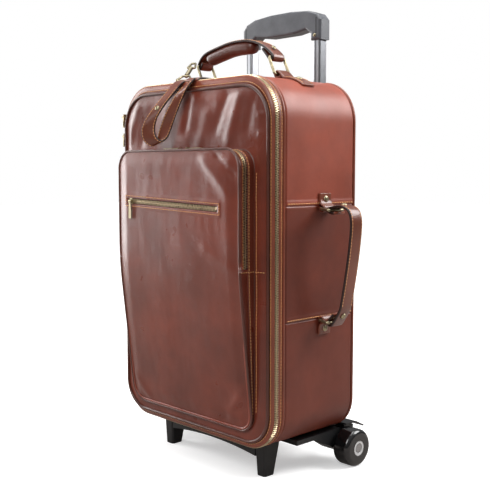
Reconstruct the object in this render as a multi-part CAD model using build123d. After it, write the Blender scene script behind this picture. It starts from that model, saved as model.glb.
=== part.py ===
from build123d import *

import os
from math import cos, radians, sin, sqrt

# A leather cabin trolley case. All sizes are in millimetres.
# The model is built about the case's own middle plane: +X is the side with the side handle,
# -Y is the front with the lid and pocket, +Z is up and the floor is z = 0.
# save() then moves every part so that the origin is the bottom centre of the whole object.

# ---- driving dimensions ---------------------------------------------------------------------
half_width = 165.0  # case body
case_bottom = 53.0
case_top = 563.0
corner_top = 58.0
corner_bottom = 50.0
wrap_front = -59.0  # front edge of the leather wrap
wrap_back = 81.0
back_face = 84.0
leather = 3.5  # wrap with its backing
seam_high = 387.0  # seams across the two side panels
seam_low = 229.0

zip_middle = -75.5  # the main zip lies between body band and lid band
zip_half_width = 3.5
zip_gap = 0.2  # clear gap between the two halves of a closed zip
band_thick = 2.5

lid_face_y = -85.0
lid_inset_side = 6.0
lid_inset_top = 12.0
lid_inset_bottom = 8.0
lid_thick = 2.5
hinge_low = 115.0  # the leather hinge strip runs between these heights on the left
hinge_high = 470.0
lid_axis = (-170.0, -72.0)

pocket_half = 134.0
pocket_low = 77.0
pocket_high = 464.0
pocket_corner = 26.0
pocket_face_y = -116.5
pocket_zip_y = (-105.0, -98.0)
pocket_split = 303.0  # below this height the gusset is one closed piece
pocket_taper = 7.0  # below the split the pocket's face slopes back by this angle, in degrees
flap_gap = 0.5

small_zip_x = (-108.0, 94.0)
small_zip_z = 390.0
small_zip_wide = 9.0
small_zip_tilt = 1.9

handle_y = 8.0  # middle of the carry handle
ring_wire = 2.1
ring_play = 0.05
ring_half = 15.0
ring_corner = 2.6
carry_anchor_x = (-63.0, 93.0)  # the lower bars of the two rings
ring_lean = -12.0  # the handle lies pulled to the left, so both rings lean that way
carry_ring_low = 571.0
carry_ring_high = 596.5
strap_half = 12.0
strap_thick = 4.0
roll_x = (-66.0, 46.0)
roll_radius = 10.5
roll_drop = 8.5  # the roll's middle is this far below the strap

side_y = 18.0  # middle of the side handle
side_ring_z = (228.0, 383.0)
side_ring_in = 171.0
side_ring_out = 187.0
side_ring_drop = 2.0

tube_x = 73.5
tube_y = 110.0
inner_tube = (14.0, 16.0)
mid_tube = (17.6, 19.6)
sleeve_tube = (21.2, 23.2)
tube_wall = 1.4
grip_bottom = 632.0
grip_half = 84.0
grip_depth = 24.0
button_half = 20.0
button_travel = 4.0

wheel_radius = 27.5
wheel_y = 88.0
wheel_inner_x = 146.0
wheel_outer_x = 176.0
hub_radius = 11.0
axle_radius = 4.0
axle_play = 0.05

foot_x = 104.0
foot_y = -35.0
sole_size = (17.0, 20.0)

# The whole object's middle, seen from above: the side handle and the wheels set it.
centre_x = 24.5
centre_y = 3.3

os.makedirs("parts", exist_ok=True)


# ---- helpers --------------------------------------------------------------------------------
def save(name, shape):
    """Write one part, moved so that the origin is the bottom centre of the whole object."""
    solids = [solid for solid in shape.solids()]
    whole = solids[0] if len(solids) == 1 else Compound(children=solids)
    export_step(Pos(-centre_x, -centre_y, 0) * whole, f"parts/{name}.step")


def block(x0, x1, y0, y1, z0, z1):
    """A plain box between two corners."""
    return Pos((x0 + x1) / 2, (y0 + y1) / 2, (z0 + z1) / 2) * Box(x1 - x0, y1 - y0, z1 - z0)


def outline(half, low, high, r_low, r_high):
    """A rectangle with rounded corners, standing in the XZ plane."""
    sketch = Pos(0, (low + high) / 2) * Rectangle(2 * half, high - low)
    sketch = fillet(sketch.vertices().sort_by(Axis.Y)[-2:], r_high)
    sketch = fillet(sketch.vertices().sort_by(Axis.Y)[:2], r_low)
    return Plane.XZ * sketch


def case_outline(inset=0.0):
    """The case's outline, inset mm inside the outer face of the leather."""
    return outline(
        half_width - inset,
        case_bottom + inset,
        case_top - inset,
        corner_bottom - inset,
        corner_top - inset,
    )


def lid_outline(inset=0.0):
    """The outline of the lid's face, inset mm inside its own edge."""
    return outline(
        half_width - lid_inset_side - inset,
        case_bottom + lid_inset_bottom + inset,
        case_top - lid_inset_top - inset,
        corner_bottom - lid_inset_side - inset,
        corner_top - lid_inset_side - inset,
    )


def pocket_outline(inset=0.0):
    """The front pocket's outline, inset mm inside its own edge."""
    corner = pocket_corner - inset
    return outline(pocket_half - inset, pocket_low + inset, pocket_high - inset, corner, corner)


def slab(face, front, back):
    """A standing outline made solid between two depths."""
    return Pos(0, back, 0) * extrude(face, back - front)


def ring(outer, inner, front, back):
    return slab(outer, front, back) - slab(inner, front - 1, back + 1)


def wire_ring(face, radius):
    """A closed ring of round wire along the edge of a face."""
    path = face.face().outer_wire()
    section = Plane(origin=path @ 0, z_dir=path % 0) * Circle(radius)
    return sweep(section, path=path)


def piping(face, y, radius):
    """A round cord that follows a standing outline."""
    return wire_ring(Pos(0, y, 0) * face, radius)


def rod(start, end, radius):
    """A round bar between two points."""
    axis = Vector(*end) - Vector(*start)
    return extrude(Plane(origin=start, z_dir=axis) * Circle(radius), axis.length)


def both_sides(shape):
    """The part and its mirror image across the case's middle plane."""
    return shape.solids() + mirror(shape, Plane.YZ).solids()


def as_group(solids):
    return Compound(children=list(solids))


above_all, below_all, wide, deep = 700.0, -10.0, 300.0, 300.0


def between_heights(shape, low, high):
    return shape & block(-wide, wide, -deep, deep, low, high)


# ---- case body ------------------------------------------------------------------------------
def leather_wrap():
    """The band of leather round the case, cut at its seams into upper, side and lower pieces."""
    wrap = ring(case_outline(), case_outline(leather), wrap_front, wrap_back)
    save("upper_wrap", between_heights(wrap, seam_high, above_all))
    save("side_patches", between_heights(wrap, seam_low, seam_high))
    save("lower_wrap", between_heights(wrap, below_all, seam_low))


welt_radius = 2.5
back_cord_radius = 2.2


def case_edges():
    """Back panel, the cords sewn into both edges, and the band that carries the zip."""
    save("back_panel", slab(case_outline(leather), wrap_back, back_face))
    front_cord = piping(case_outline(1.5), wrap_front - welt_radius - 0.1, welt_radius)
    back_cord = piping(case_outline(1.2), wrap_back + back_cord_radius + 0.05, back_cord_radius)
    save("body_piping", as_group(front_cord.solids() + back_cord.solids()))
    band_back = wrap_front - 2 * welt_radius - 0.2
    band = ring(case_outline(), case_outline(band_thick), zip_middle + zip_half_width, band_back)
    save("body_zip_band", band)


def zip_half(front, back):
    """One half of the main zip: it leaves out the stretch where the hinge strip is."""
    tape = ring(case_outline(0.6), case_outline(3.0), front, back)
    return tape - block(-wide, -half_width + 20, -deep, deep, hinge_low, hinge_high)


def main_zip():
    save("main_zip_body_half", zip_half(zip_middle + zip_gap / 2, zip_middle + zip_half_width))
    save("main_zip_lid_half", zip_half(zip_middle - zip_half_width, zip_middle - zip_gap / 2))


lining_inset = 6.0
lining_thick = 1.0
lining_back = 77.0


def inside():
    """Fabric lining, and the boards and front hoop that hold the case in shape."""
    back_wall = slab(case_outline(lining_inset), lining_back - lining_thick, lining_back)
    side_wall = ring(
        case_outline(lining_inset),
        case_outline(lining_inset + lining_thick),
        wrap_front,
        lining_back,
    )
    save("body_lining", side_wall + back_wall)
    back_board = slab(case_outline(leather + 0.5), lining_back + 0.2, wrap_back - 0.2)
    hoop = ring(
        case_outline(leather + 0.1), case_outline(lining_inset - 0.2), wrap_front, wrap_front + 9
    )
    base_low, base_high = case_bottom + leather + 0.1, case_bottom + lining_inset - 0.1
    base_board = block(-105, 105, wrap_front + 11, lining_back - 2, base_low, base_high)
    boards = back_board.solids() + hoop.solids() + base_board.solids()
    save("stiffener_boards", as_group(boards))


def hinge_strip():
    """The leather strip on the left that the lid folds about."""
    strip = ring(
        case_outline(),
        case_outline(band_thick),
        zip_middle - zip_half_width + 0.1,
        zip_middle + zip_half_width,
    )
    strip = strip & block(-wide, 0, -deep, deep, hinge_low + 1, hinge_high - 1)
    save("hinge_strip", strip)


# ---- feet, brackets and wheels --------------------------------------------------------------
foot_top_size = (22.0, 32.0)
foot_plate = 4.0
leg_corner = 4.0
bridge_front = -46.0
bridge_thick = 6.0
bridge_low = 27.0
bridge_arch = 34.0


def foot_base():
    """Two tapered legs under the front edge, joined by an arched bridge and a top plate."""
    plate_z = case_bottom - foot_plate
    leg = loft(
        [
            Pos(foot_x, foot_y, 0) * RectangleRounded(*sole_size, leg_corner),
            Pos(foot_x, foot_y + 4, plate_z) * RectangleRounded(*foot_top_size, leg_corner),
        ]
    )
    arch_end = foot_x - foot_top_size[0] / 2 + 1
    lower = ThreePointArc((-arch_end, bridge_low), (0, bridge_arch), (arch_end, bridge_low))
    upper = Polyline(
        (arch_end, bridge_low), (arch_end, plate_z), (-arch_end, plate_z), (-arch_end, bridge_low)
    )
    bridge = slab(Plane.XZ * make_face(lower + upper), bridge_front, bridge_front + bridge_thick)
    plate = block(-foot_x - 11, foot_x + 11, bridge_front, -14, plate_z, case_bottom)
    legs = both_sides(leg)
    save("foot_base", plate + bridge + legs[0] + legs[1])


bracket_x = (112.0, 144.5)
bracket_front = -12.0
bracket_sole = 46.0
flap_x = (128.0, 152.0)
flap_thick = 2.2


def wheel_bracket():
    """A housing under the case that reaches down to the axle, with a thin flap behind the case."""
    side_points = [
        (bracket_front, case_bottom),
        (bracket_front, bracket_sole),
        (22, bracket_sole),
        (58, 31),
        (wheel_y - 10, wheel_radius - 9),
        (wheel_y + 10, wheel_radius - 9),
        (wheel_y + 24, 46),
        (wheel_y + 24, case_bottom),
    ]
    face = Plane.YZ * make_face(Polyline(*side_points, close=True))
    housing = Pos(bracket_x[0], 0, 0) * extrude(face, bracket_x[1] - bracket_x[0])
    bend = FilletPolyline((84, 59), (108, 59), (128, 49), radius=14)
    flap = Pos(flap_x[0], 0, 0) * extrude(Plane.YZ * trace(bend, flap_thick), flap_x[1] - flap_x[0])
    root = block(flap_x[0], bracket_x[1], 90, 104, case_bottom - 4, 59)
    bore = rod((0, wheel_y, wheel_radius), (200, wheel_y, wheel_radius), axle_radius)
    cord_room = block(0, wide, wrap_back - 0.5, back_face + 2.5, case_bottom - 1.5, case_bottom + 30)
    return housing + root + flap - bore - cord_room


hub_outer_x = wheel_outer_x - 0.5
recess_radius = 7.5
recess_depth = 3.0
bolt_head_radius = 6.0


def wheels():
    """Two wheels on bolts: a soft tyre bonded to a hard hub."""
    at_axle = Pos(0, wheel_y, wheel_radius)
    tyre = rod((wheel_inner_x, 0, 0), (wheel_outer_x, 0, 0), wheel_radius)
    rims = tyre.edges().filter_by(GeomType.CIRCLE).sort_by(Axis.X)
    tyre = fillet(rims, 7.0) - rod((100, 0, 0), (200, 0, 0), hub_radius)
    hub = rod((wheel_inner_x, 0, 0), (hub_outer_x, 0, 0), hub_radius)
    hub -= rod((100, 0, 0), (200, 0, 0), axle_radius + axle_play)
    hub -= rod((hub_outer_x - recess_depth, 0, 0), (200, 0, 0), recess_radius)
    head_x = hub_outer_x - recess_depth + 0.2
    bolt = rod((bracket_x[1] - 12, 0, 0), (head_x + 0.5, 0, 0), axle_radius)
    bolt += rod((head_x, 0, 0), (head_x + 2.4, 0, 0), bolt_head_radius)
    for name, part in (("tyre", at_axle * tyre), ("hub", at_axle * hub)):
        save(f"{name}_right", part)
        save(f"{name}_left", mirror(part, Plane.YZ))
    save("axle_bolts", as_group(both_sides(at_axle * bolt)))
    save("wheel_brackets", as_group(both_sides(wheel_bracket())))


screw_head = (3.5, 2.0)


def screws():
    """Screw heads under the wheel brackets and under the foot plate."""
    radius, height = screw_head
    x = bracket_x[0] + 10
    heads = []
    for y in (-4.0, 14.0):
        heads += both_sides(rod((x, y, bracket_sole), (x, y, bracket_sole - height), radius))
    plate_low = case_bottom - foot_plate
    heads += both_sides(rod((50, -27, plate_low), (50, -27, plate_low - height), radius))
    save("screws", as_group(heads))


# ---- telescopic handle ----------------------------------------------------------------------
def tube(size, low, high):
    """One rectangular tube of the right-hand leg."""
    outer = block(-size[0] / 2, size[0] / 2, -size[1] / 2, size[1] / 2, low, high)
    hole_x, hole_y = size[0] / 2 - tube_wall, size[1] / 2 - tube_wall
    outer = fillet(outer.edges().filter_by(Axis.Z), 2.4)
    inner = block(-hole_x, hole_x, -hole_y, hole_y, low - 1, high + 1)
    inner = fillet(inner.edges().filter_by(Axis.Z), 1.0)
    return Pos(tube_x, tube_y, 0) * (outer - inner)


sleeve_low, sleeve_high = 72.0, 560.0
mid_low, mid_high = 75.0, 561.5
inner_low = 142.0
socket_top = 654.0
cover_half = 98.0
cover_back = 125.0
cover_low, cover_high = 64.0, 557.0
cover_thick = 3.0


def trolley():
    """Three nested tubes a side, their brackets, and the leather cover on the case's back."""
    save("trolley_sleeves", as_group(both_sides(tube(sleeve_tube, sleeve_low, sleeve_high))))
    save("trolley_mid_tubes", as_group(both_sides(tube(mid_tube, mid_low, mid_high))))
    save("trolley_inner_tubes", as_group(both_sides(tube(inner_tube, inner_low, socket_top))))
    inside_half, inside_back = cover_half - cover_thick, cover_back - cover_thick
    cover = block(-cover_half, cover_half, back_face, cover_back, cover_low, cover_high)
    cover = fillet(cover.edges().filter_by(Axis.Z).sort_by(Axis.Y)[-2:], 12)
    hollow = block(
        -inside_half, inside_half, back_face - 1, inside_back, cover_low + cover_thick, above_all
    )
    hollow = fillet(hollow.edges().filter_by(Axis.Z).sort_by(Axis.Y)[-2:], 9)
    save("trolley_cover", cover - hollow)
    plates = []
    for low, high in ((cover_low + cover_thick, 80.0), (546.0, cover_high + 1)):
        plate = block(-inside_half, inside_half, back_face, inside_back, low, high) & hollow
        for side in (-1, 1):
            seat = block(-sleeve_tube[0] / 2, sleeve_tube[0] / 2, -sleeve_tube[1] / 2,
                         sleeve_tube[1] / 2, sleeve_low, above_all)
            seat = fillet(seat.edges().filter_by(Axis.Z), 2.4)
            plate -= Pos(side * tube_x, tube_y, 0) * seat
        plates += plate.solids()
    save("trolley_brackets", as_group(plates))


grip_round = 4.0
button_pocket = 1.0  # clear space round the button
button_low = 669.0
button_high = 679.0


def grip():
    """The moulded grip: two caps over the tubes, an arched bar, and a push button on top."""
    right_side = [
        (22, 680),
        (58, 677),
        (76, 671),
        (grip_half, 662),
        (grip_half, grip_bottom),
        (grip_half - 20, grip_bottom),
        (grip_half - 20, 642),
        (54, 649),
        (28, 645),
    ]
    left_side = [(-x, z) for x, z in reversed(right_side)]
    face = make_face(Polyline(*right_side, *left_side, close=True))
    half_depth = grip_depth / 2
    bar = slab(Plane.XZ * face, tube_y - half_depth, tube_y + half_depth)
    lengthwise = bar.edges().group_by(Axis.Y)
    bar = fillet(lengthwise[0] + lengthwise[-1], grip_round)
    for side in (-1, 1):
        socket = block(-inner_tube[0] / 2, inner_tube[0] / 2, -inner_tube[1] / 2,
                       inner_tube[1] / 2, grip_bottom - 5, socket_top)
        bar -= Pos(side * tube_x, tube_y, 0) * socket
    reach = button_half + button_pocket
    reach_y = half_depth - 4 + button_pocket
    pocket_floor = button_low - button_travel - 1
    bar -= block(-reach, reach, tube_y - reach_y, tube_y + reach_y, pocket_floor, above_all)
    save("grip", bar)
    button = block(-button_half, button_half, tube_y - half_depth + 4, tube_y + half_depth - 4,
                   button_low, button_high)
    dish = rod((0, 0, button_high + 78), (0, 200, button_high + 78), 80)
    save("grip_button", button - dish)


# ---- carry handle ---------------------------------------------------------------------------
anchor_length = 62.0
anchor_thick = 3.0
eye_radius = 4.4
rivet_head = (3.8, 1.6)


def top_point(x, lift):
    """A point lift mm above the case's top at x, and the outward direction there."""
    flat = half_width - corner_top
    if x <= flat:
        return (x, handle_y, case_top + lift), (0, 0, 1)
    rise = sqrt(corner_top**2 - (x - flat) ** 2)
    out = ((x - flat) / corner_top, 0, rise / corner_top)
    reach = corner_top + lift
    return (flat + out[0] * reach, handle_y, case_top - corner_top + out[2] * reach), out


def rivet(point, out):
    radius, height = rivet_head
    base = Vector(*point)
    return rod(tuple(base), tuple(base + Vector(*out) * height), radius)


def bar_hole(x, z):
    """The hole that a ring's bar turns in, through everything along Y."""
    return rod((x, -deep, z), (x, deep, z), ring_wire + ring_play)


def eye(x, z, middle):
    """The leather rolled round a ring's bar."""
    return rod((x, middle - strap_half, z), (x, middle + strap_half, z), eye_radius)


def ring_between(low, high, middle):
    """A rectangular ring whose two long bars run along Y through the points low and high."""
    along = Vector(high[0] - low[0], 0, high[1] - low[1])
    centre = ((low[0] + high[0]) / 2, middle, (low[1] + high[1]) / 2)
    across = Vector(0, 1, 0)
    frame = Plane(origin=centre, x_dir=across, z_dir=across.cross(along))
    return wire_ring(frame * RectangleRounded(2 * ring_half, along.length, ring_corner), ring_wire)


def carry_anchors():
    """Leather tabs riveted to the top; each is folded round the lower bar of its ring."""
    front, back = handle_y - strap_half, handle_y + strap_half
    sheet = ring(case_outline(-anchor_thick), case_outline(-0.05), front, back)
    tabs = []
    for x, way in zip(carry_anchor_x, (-1, 1)):
        ends = sorted((x, x + way * anchor_length))
        tab = sheet & block(*ends, -deep, deep, case_top - 40, above_all)
        neck = block(x - 2.5, x + 2.5, front, back, case_top + 0.05, carry_ring_low)
        tabs += (tab + neck + eye(x, carry_ring_low, handle_y) - bar_hole(x, carry_ring_low)).solids()
    save("carry_anchors", as_group(tabs))


def carry_handle():
    """Two rings, the arched strap with an eye at each end, and the padded roll below it."""
    for x, name in zip(carry_anchor_x, ("carry_ring_left", "carry_ring_right")):
        upper = (x + ring_lean, carry_ring_high)
        save(name, ring_between((x, carry_ring_low), upper, handle_y))
    left, right = (x + ring_lean for x in carry_anchor_x)
    line = Spline(
        (left, carry_ring_high),
        (left + 6, carry_ring_high + 11.5),
        (left + 18, carry_ring_high + 18.5),
        (left + 47, carry_ring_high + 25),
        (left + 66, carry_ring_high + 28),
        (right - 69, carry_ring_high + 29),
        (right - 47, carry_ring_high + 27.5),
        (right - 25, carry_ring_high + 21.3),
        (right - 10, carry_ring_high + 12),
        (right, carry_ring_high),
    )
    front, back = handle_y - strap_half, handle_y + strap_half
    strap = slab(Plane.XZ * trace(line, strap_thick), front, back)
    for x in (left, right):
        strap += eye(x, carry_ring_high, handle_y)
    for x in (left, right):
        strap -= bar_hole(x, carry_ring_high)
    save("carry_strap", strap)
    path = Pos(0, handle_y, -roll_drop) * (Plane.XZ * line)
    cord = sweep(Plane(origin=path @ 0, z_dir=path % 0) * Circle(roll_radius), path=path)
    cord = cord & block(*roll_x, -deep, deep, case_top, above_all)
    cord -= slab(Plane.XZ * trace(line, strap_thick + 0.04), -deep, deep)
    save("carry_roll", cord.solids().sort_by(Axis.Z)[0])


# ---- side handle ----------------------------------------------------------------------------
side_anchor_length = 19.0


def side_handle():
    """Anchor tabs on the right side panel, two rings, and the strap that stands off the panel."""
    front, back = side_y - strap_half, side_y + strap_half
    anchors = []
    for z, way, name in zip(side_ring_z, (-1, 1), ("side_ring_lower", "side_ring_upper")):
        ends = sorted((z, z + way * side_anchor_length))
        tab = block(half_width + 0.05, half_width + anchor_thick, front, back, *ends)
        neck = block(half_width + 0.05, side_ring_in, front, back, z - 2.5, z + 2.5)
        anchors += (tab + neck + eye(side_ring_in, z, side_y) - bar_hole(side_ring_in, z)).solids()
        save(name, ring_between((side_ring_in, z), (side_ring_out, z - side_ring_drop), side_y))
    save("side_anchors", as_group(anchors))
    low, high = (z - side_ring_drop for z in side_ring_z)
    line = Spline(
        (side_ring_out, high),
        (side_ring_out + 18, high + 4),
        (side_ring_out + 32, high - 3),
        (side_ring_out + 36, high - 20),
        (side_ring_out + 32, high - 56),
        (side_ring_out + 25, high - 96),
        (side_ring_out + 19, high - 126),
        (side_ring_out + 12, high - 143),
        (side_ring_out, low),
    )
    strap = slab(Plane.XZ * trace(line, strap_thick), front, back)
    for z in (low, high):
        strap += eye(side_ring_out, z, side_y)
    for z in (low, high):
        strap -= bar_hole(side_ring_out, z)
    save("side_strap", strap)


def rivets():
    """Rivet heads on the top anchor tabs and on the side anchor tabs."""
    heads = []
    for x, way in zip(carry_anchor_x, (-1, 1)):
        point, out = top_point(abs(x) + 43, anchor_thick + 0.02)
        head = rivet(point, out)
        heads += head.solids() if way > 0 else mirror(head, Plane.YZ).solids()
    for z, way in zip(side_ring_z, (-1, 1)):
        place = (half_width + anchor_thick, side_y, z + way * 12)
        heads += rivet(place, (1, 0, 0)).solids()
    save("rivets", as_group(heads))


# ---- lid ------------------------------------------------------------------------------------
band_front = -82.2


def lid():
    """The lid: a bevelled band, a corded edge, the leather face and its lining."""
    band_back = zip_middle - zip_half_width
    outer = loft([Pos(0, band_back, 0) * case_outline(), Pos(0, band_front, 0) * lid_outline()])
    inner_front = band_front + 1.8
    inner = loft(
        [Pos(0, band_back, 0) * case_outline(3.0), Pos(0, inner_front, 0) * lid_outline(3.0)]
    )
    window = slab(lid_outline(3.0), band_front - 1, band_back + 1)
    save("lid_band", outer - inner - window)
    save("lid_piping", piping(lid_outline(1.5), lid_face_y + 0.4, 2.2))
    save("lid_face", slab(lid_outline(4.0), lid_face_y, lid_face_y + lid_thick))
    save("lid_lining", slab(lid_outline(5.0), lid_face_y + lid_thick, lid_face_y + lid_thick + 1))


gusset_inset = 2.0
pocket_cord_radius = 1.8
gusset_thick = 2.5
face_back = -114.0


def gusset(front, back):
    return ring(
        pocket_outline(gusset_inset), pocket_outline(gusset_inset + gusset_thick), front, back
    )


def pocket():
    """The front pocket. Its upper part is a flap that unzips from the gusset and folds down."""
    zip_front, zip_back = pocket_zip_y
    zip_mid = (zip_front + zip_back) / 2
    flap_low = pocket_split + flap_gap
    slope = Pos(0, face_back, pocket_split) * Rot(pocket_taper, 0, 0)
    behind_slope = slope * block(-wide, wide, 0, deep, -2 * deep, 20)
    upper_back = between_heights(gusset(zip_back, lid_face_y), pocket_split, above_all)
    lower = between_heights(gusset(face_back, lid_face_y), below_all, pocket_split) & behind_slope
    save("pocket_gusset_back", upper_back + lower)
    lid_half = gusset(zip_mid + zip_gap / 2, zip_back)
    flap_half = gusset(zip_front, zip_mid - zip_gap / 2)
    save("pocket_zip_lid_half", between_heights(lid_half, pocket_split, above_all))
    save("pocket_zip_flap_half", between_heights(flap_half, flap_low, above_all))
    front_gusset = gusset(face_back, zip_front)
    save("pocket_gusset_front", between_heights(front_gusset, flap_low, above_all))
    face = slab(pocket_outline(2.6), pocket_face_y, face_back)
    flat_lower = between_heights(face, below_all, pocket_split)
    save("pocket_face_lower", slope * Pos(0, -face_back, -pocket_split) * flat_lower)
    upper = between_heights(face, flap_low, above_all)
    save("pocket_face_upper", upper - small_zip_strip(small_zip_wide + 0.4, 0.2, 20))
    cord = piping(pocket_outline(), face_back - 0.2, pocket_cord_radius)
    save("pocket_piping", between_heights(cord, flap_low, above_all))
    save("small_pocket_zip", small_zip_strip(small_zip_wide, 0, face_back - pocket_face_y - 0.6))


def along_small_zip(x, out, down=0.0):
    """A point on the tilted line of the small zip, out mm in front of the pocket's face."""
    slope = sin(radians(small_zip_tilt))
    return (x, pocket_face_y - out, small_zip_z - (x - small_zip_x[0]) * slope - down)


def small_zip_strip(wide_z, margin, depth):
    """The small zip's tape, or with a margin the slot it lies in."""
    length = small_zip_x[1] - small_zip_x[0] + 2 * margin
    x_mid = sum(small_zip_x) / 2
    x, _, z = along_small_zip(x_mid, 0)
    strip = Pos(x, face_back - depth / 2, z) * Rot(0, small_zip_tilt, 0) * Box(length, depth, wide_z)
    return strip


# ---- zip sliders and pulls ------------------------------------------------------------------
pull_thick = 1.4
pull_eye = 1.7
slider_thick = 1.6
pin_radius = 0.9
pin_play = 0.05


def slider_and_pull(slider_name, pull_name, place, length, pull_length, pull_wide):
    """A slider with a cross pin and a pull that hangs on it.

    Drawn lying on the XY plane: the slider's travel is X, its top faces +Z and the pull
    points to +X. place puts the pair on the zip.
    """
    half = length / 2
    body = block(-half, half, -3.6, 3.6, 0, slider_thick)
    pin_z = slider_thick + pull_eye + 0.1
    for y in (-3.6, 2.4):
        body += block(-1.6, 1.6, y, y + 1.2, slider_thick - 0.2, pin_z + 1.2)
    body += rod((0, -3.5, pin_z), (0, 3.5, pin_z), pin_radius)
    pull = block(0, pull_length, -2.2, 2.2, pin_z - pull_thick / 2, pin_z + pull_thick / 2)
    wide_from = pull_length * 0.35
    pull += block(wide_from, pull_length, -pull_wide / 2, pull_wide / 2,
                  pin_z - pull_thick / 2, pin_z + pull_thick / 2)
    pull += rod((0, -2.2, pin_z), (0, 2.2, pin_z), pull_eye)
    pull -= rod((0, -9, pin_z), (0, 9, pin_z), pin_radius + pin_play)
    save(slider_name, place * body)
    save(pull_name, place * pull)


main_slider_z = (519.0, 489.0)
pocket_slider_x = (-6.0, 14.0)
small_slider_x = -100.0
stand_off = 0.35


def sliders():
    on_left = Plane(
        origin=(-half_width - stand_off, zip_middle - 4.2, 0), x_dir=(0, 0, -1), z_dir=(-1, 0, 0)
    )
    for z, which in zip(main_slider_z, ("upper", "lower")):
        place = Pos(0, 0, z) * on_left.location
        slider_and_pull(f"main_slider_{which}", f"main_pull_{which}", place, 9, 16, 5)
    gusset_top = pocket_high - gusset_inset
    zip_y = sum(pocket_zip_y) / 2
    for x, way, which in zip(pocket_slider_x, (-1, 1), ("left", "right")):
        top = Plane(origin=(x, zip_y, gusset_top + 0.9), x_dir=(way, 0, 0), z_dir=(0, 0, 1))
        slider_and_pull(f"pocket_slider_{which}", f"pocket_pull_{which}", top.location, 12, 32, 6)
    place = Plane(
        origin=along_small_zip(small_slider_x, stand_off), x_dir=(0, 0, -1), z_dir=(0, -1, 0)
    )
    slider_and_pull("small_slider", "small_pull", place.location, 9, 26, 6)


# ---- bag strap and its hook -----------------------------------------------------------------
bag_strap_size = (22.0, 3.0)
bag_strap_foot = (-57.0, 480.0)  # x and z at the bottom of the hanging loop
bag_strap_lean = 25.0  # the loop leans to the right going up
bag_strap_loop = [  # depth and height: down the front leg, round, and up the rear leg
    (-95.5, 555),
    (-97, 547),
    (-108, 525),
    (-116, 507),
    (-117.5, 492),
    (-113, 480),
    (-104, 475),
    (-96, 482),
    (-92, 500),
    (-91, 519),
    (-91, 541),
    (-90, 555),
]
top_strip_x = (-24.0, -2.0)
top_strip_y = (-78.0, -6.0)
hook_top = (-75.0, -14.5, 600.0)
hook_end = (-38.0, -66.0, 567.5)
hook_wire = 1.6


def bag_strap():
    """The strap: a loop that hangs in front of the lid, and a flat stretch on the case's top."""
    wide, thick = bag_strap_size
    lean = radians(bag_strap_lean)
    foot_x, foot_z = bag_strap_foot
    frame = Plane(origin=(foot_x, 0, foot_z), x_dir=(0, 1, 0), z_dir=(cos(lean), 0, -sin(lean)))
    line = Spline(*[(y, (z - foot_z) / cos(lean)) for y, z in bag_strap_loop])
    loop = frame * extrude(trace(line, thick), wide / 2, both=True)
    low = case_top + 1.2
    top_strip = block(*top_strip_x, *top_strip_y, low, low + thick)
    save("bag_strap", as_group(loop.solids() + top_strip.solids()))


def snap_hook():
    """The snap hook on the strap's end: a jaw by the left ring, a barrel and an eye."""
    axis = Vector(*hook_end) - Vector(*hook_top)
    across = Vector(0, 0, 1).cross(axis)
    frame = Plane(origin=hook_top, x_dir=axis, z_dir=axis.cross(across))
    jaw_end, loop_start, length = 20, axis.length - 18, axis.length
    jaw = make_face(Polyline((0, -3), (0, 3), (jaw_end, 6), (jaw_end, -6), close=True))
    loop = make_face(
        Polyline((loop_start, -5), (loop_start, 5), (length, 12), (length, -12), close=True)
    )
    hook = rod((jaw_end, 0, 0), (loop_start, 0, 0), 3.2)
    for face in (jaw, loop):
        hook += wire_ring(fillet(face.vertices(), 2.4), hook_wire)
    save("snap_hook", frame.location * hook)


# ---- build ----------------------------------------------------------------------------------
leather_wrap()
case_edges()
main_zip()
inside()
hinge_strip()
foot_base()
wheels()
screws()
trolley()
grip()
carry_anchors()
carry_handle()
side_handle()
rivets()
lid()
pocket()
sliders()
bag_strap()
snap_hook()
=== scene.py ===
from math import cos, exp, log, pi, radians, sin, sqrt

import bmesh
import bpy
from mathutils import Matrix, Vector, noise


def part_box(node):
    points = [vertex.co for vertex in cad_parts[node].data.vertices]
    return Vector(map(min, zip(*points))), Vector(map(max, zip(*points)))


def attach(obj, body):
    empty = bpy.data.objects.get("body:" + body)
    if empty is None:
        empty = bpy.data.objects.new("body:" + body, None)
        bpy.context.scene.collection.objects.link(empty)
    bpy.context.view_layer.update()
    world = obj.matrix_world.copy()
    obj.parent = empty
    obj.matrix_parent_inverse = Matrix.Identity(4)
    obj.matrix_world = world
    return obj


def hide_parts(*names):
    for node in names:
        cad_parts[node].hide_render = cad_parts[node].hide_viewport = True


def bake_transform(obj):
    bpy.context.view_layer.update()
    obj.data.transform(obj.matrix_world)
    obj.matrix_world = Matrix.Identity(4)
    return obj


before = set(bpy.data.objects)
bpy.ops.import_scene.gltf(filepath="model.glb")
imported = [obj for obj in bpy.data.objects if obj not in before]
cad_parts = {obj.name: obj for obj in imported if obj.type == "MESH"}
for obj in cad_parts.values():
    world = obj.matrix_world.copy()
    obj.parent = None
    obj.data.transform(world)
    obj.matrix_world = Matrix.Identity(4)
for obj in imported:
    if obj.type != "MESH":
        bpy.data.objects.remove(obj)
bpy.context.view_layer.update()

# ---- case coordinates -----------------------------------------------------------------------
# Shapes are worked out in millimetres: x from the case's middle plane, y from the point WRAP_FRONT
# behind the front edge of the leather wrap, z from the floor. place() turns them into metres.
MM = 0.001
WRAP_FRONT = -59.0
MID_X = (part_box("upper_wrap")[0].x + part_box("upper_wrap")[1].x) / 2
MID_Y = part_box("upper_wrap")[0].y - WRAP_FRONT * MM


def place(point):
    return Vector((MID_X + point[0] * MM, MID_Y + point[1] * MM, point[2] * MM))


def case_box(node):
    """A CAD node's lowest and highest corners in case millimetres."""
    return [
        Vector(((corner.x - MID_X) / MM, (corner.y - MID_Y) / MM, corner.z / MM))
        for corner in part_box(node)
    ]


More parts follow.
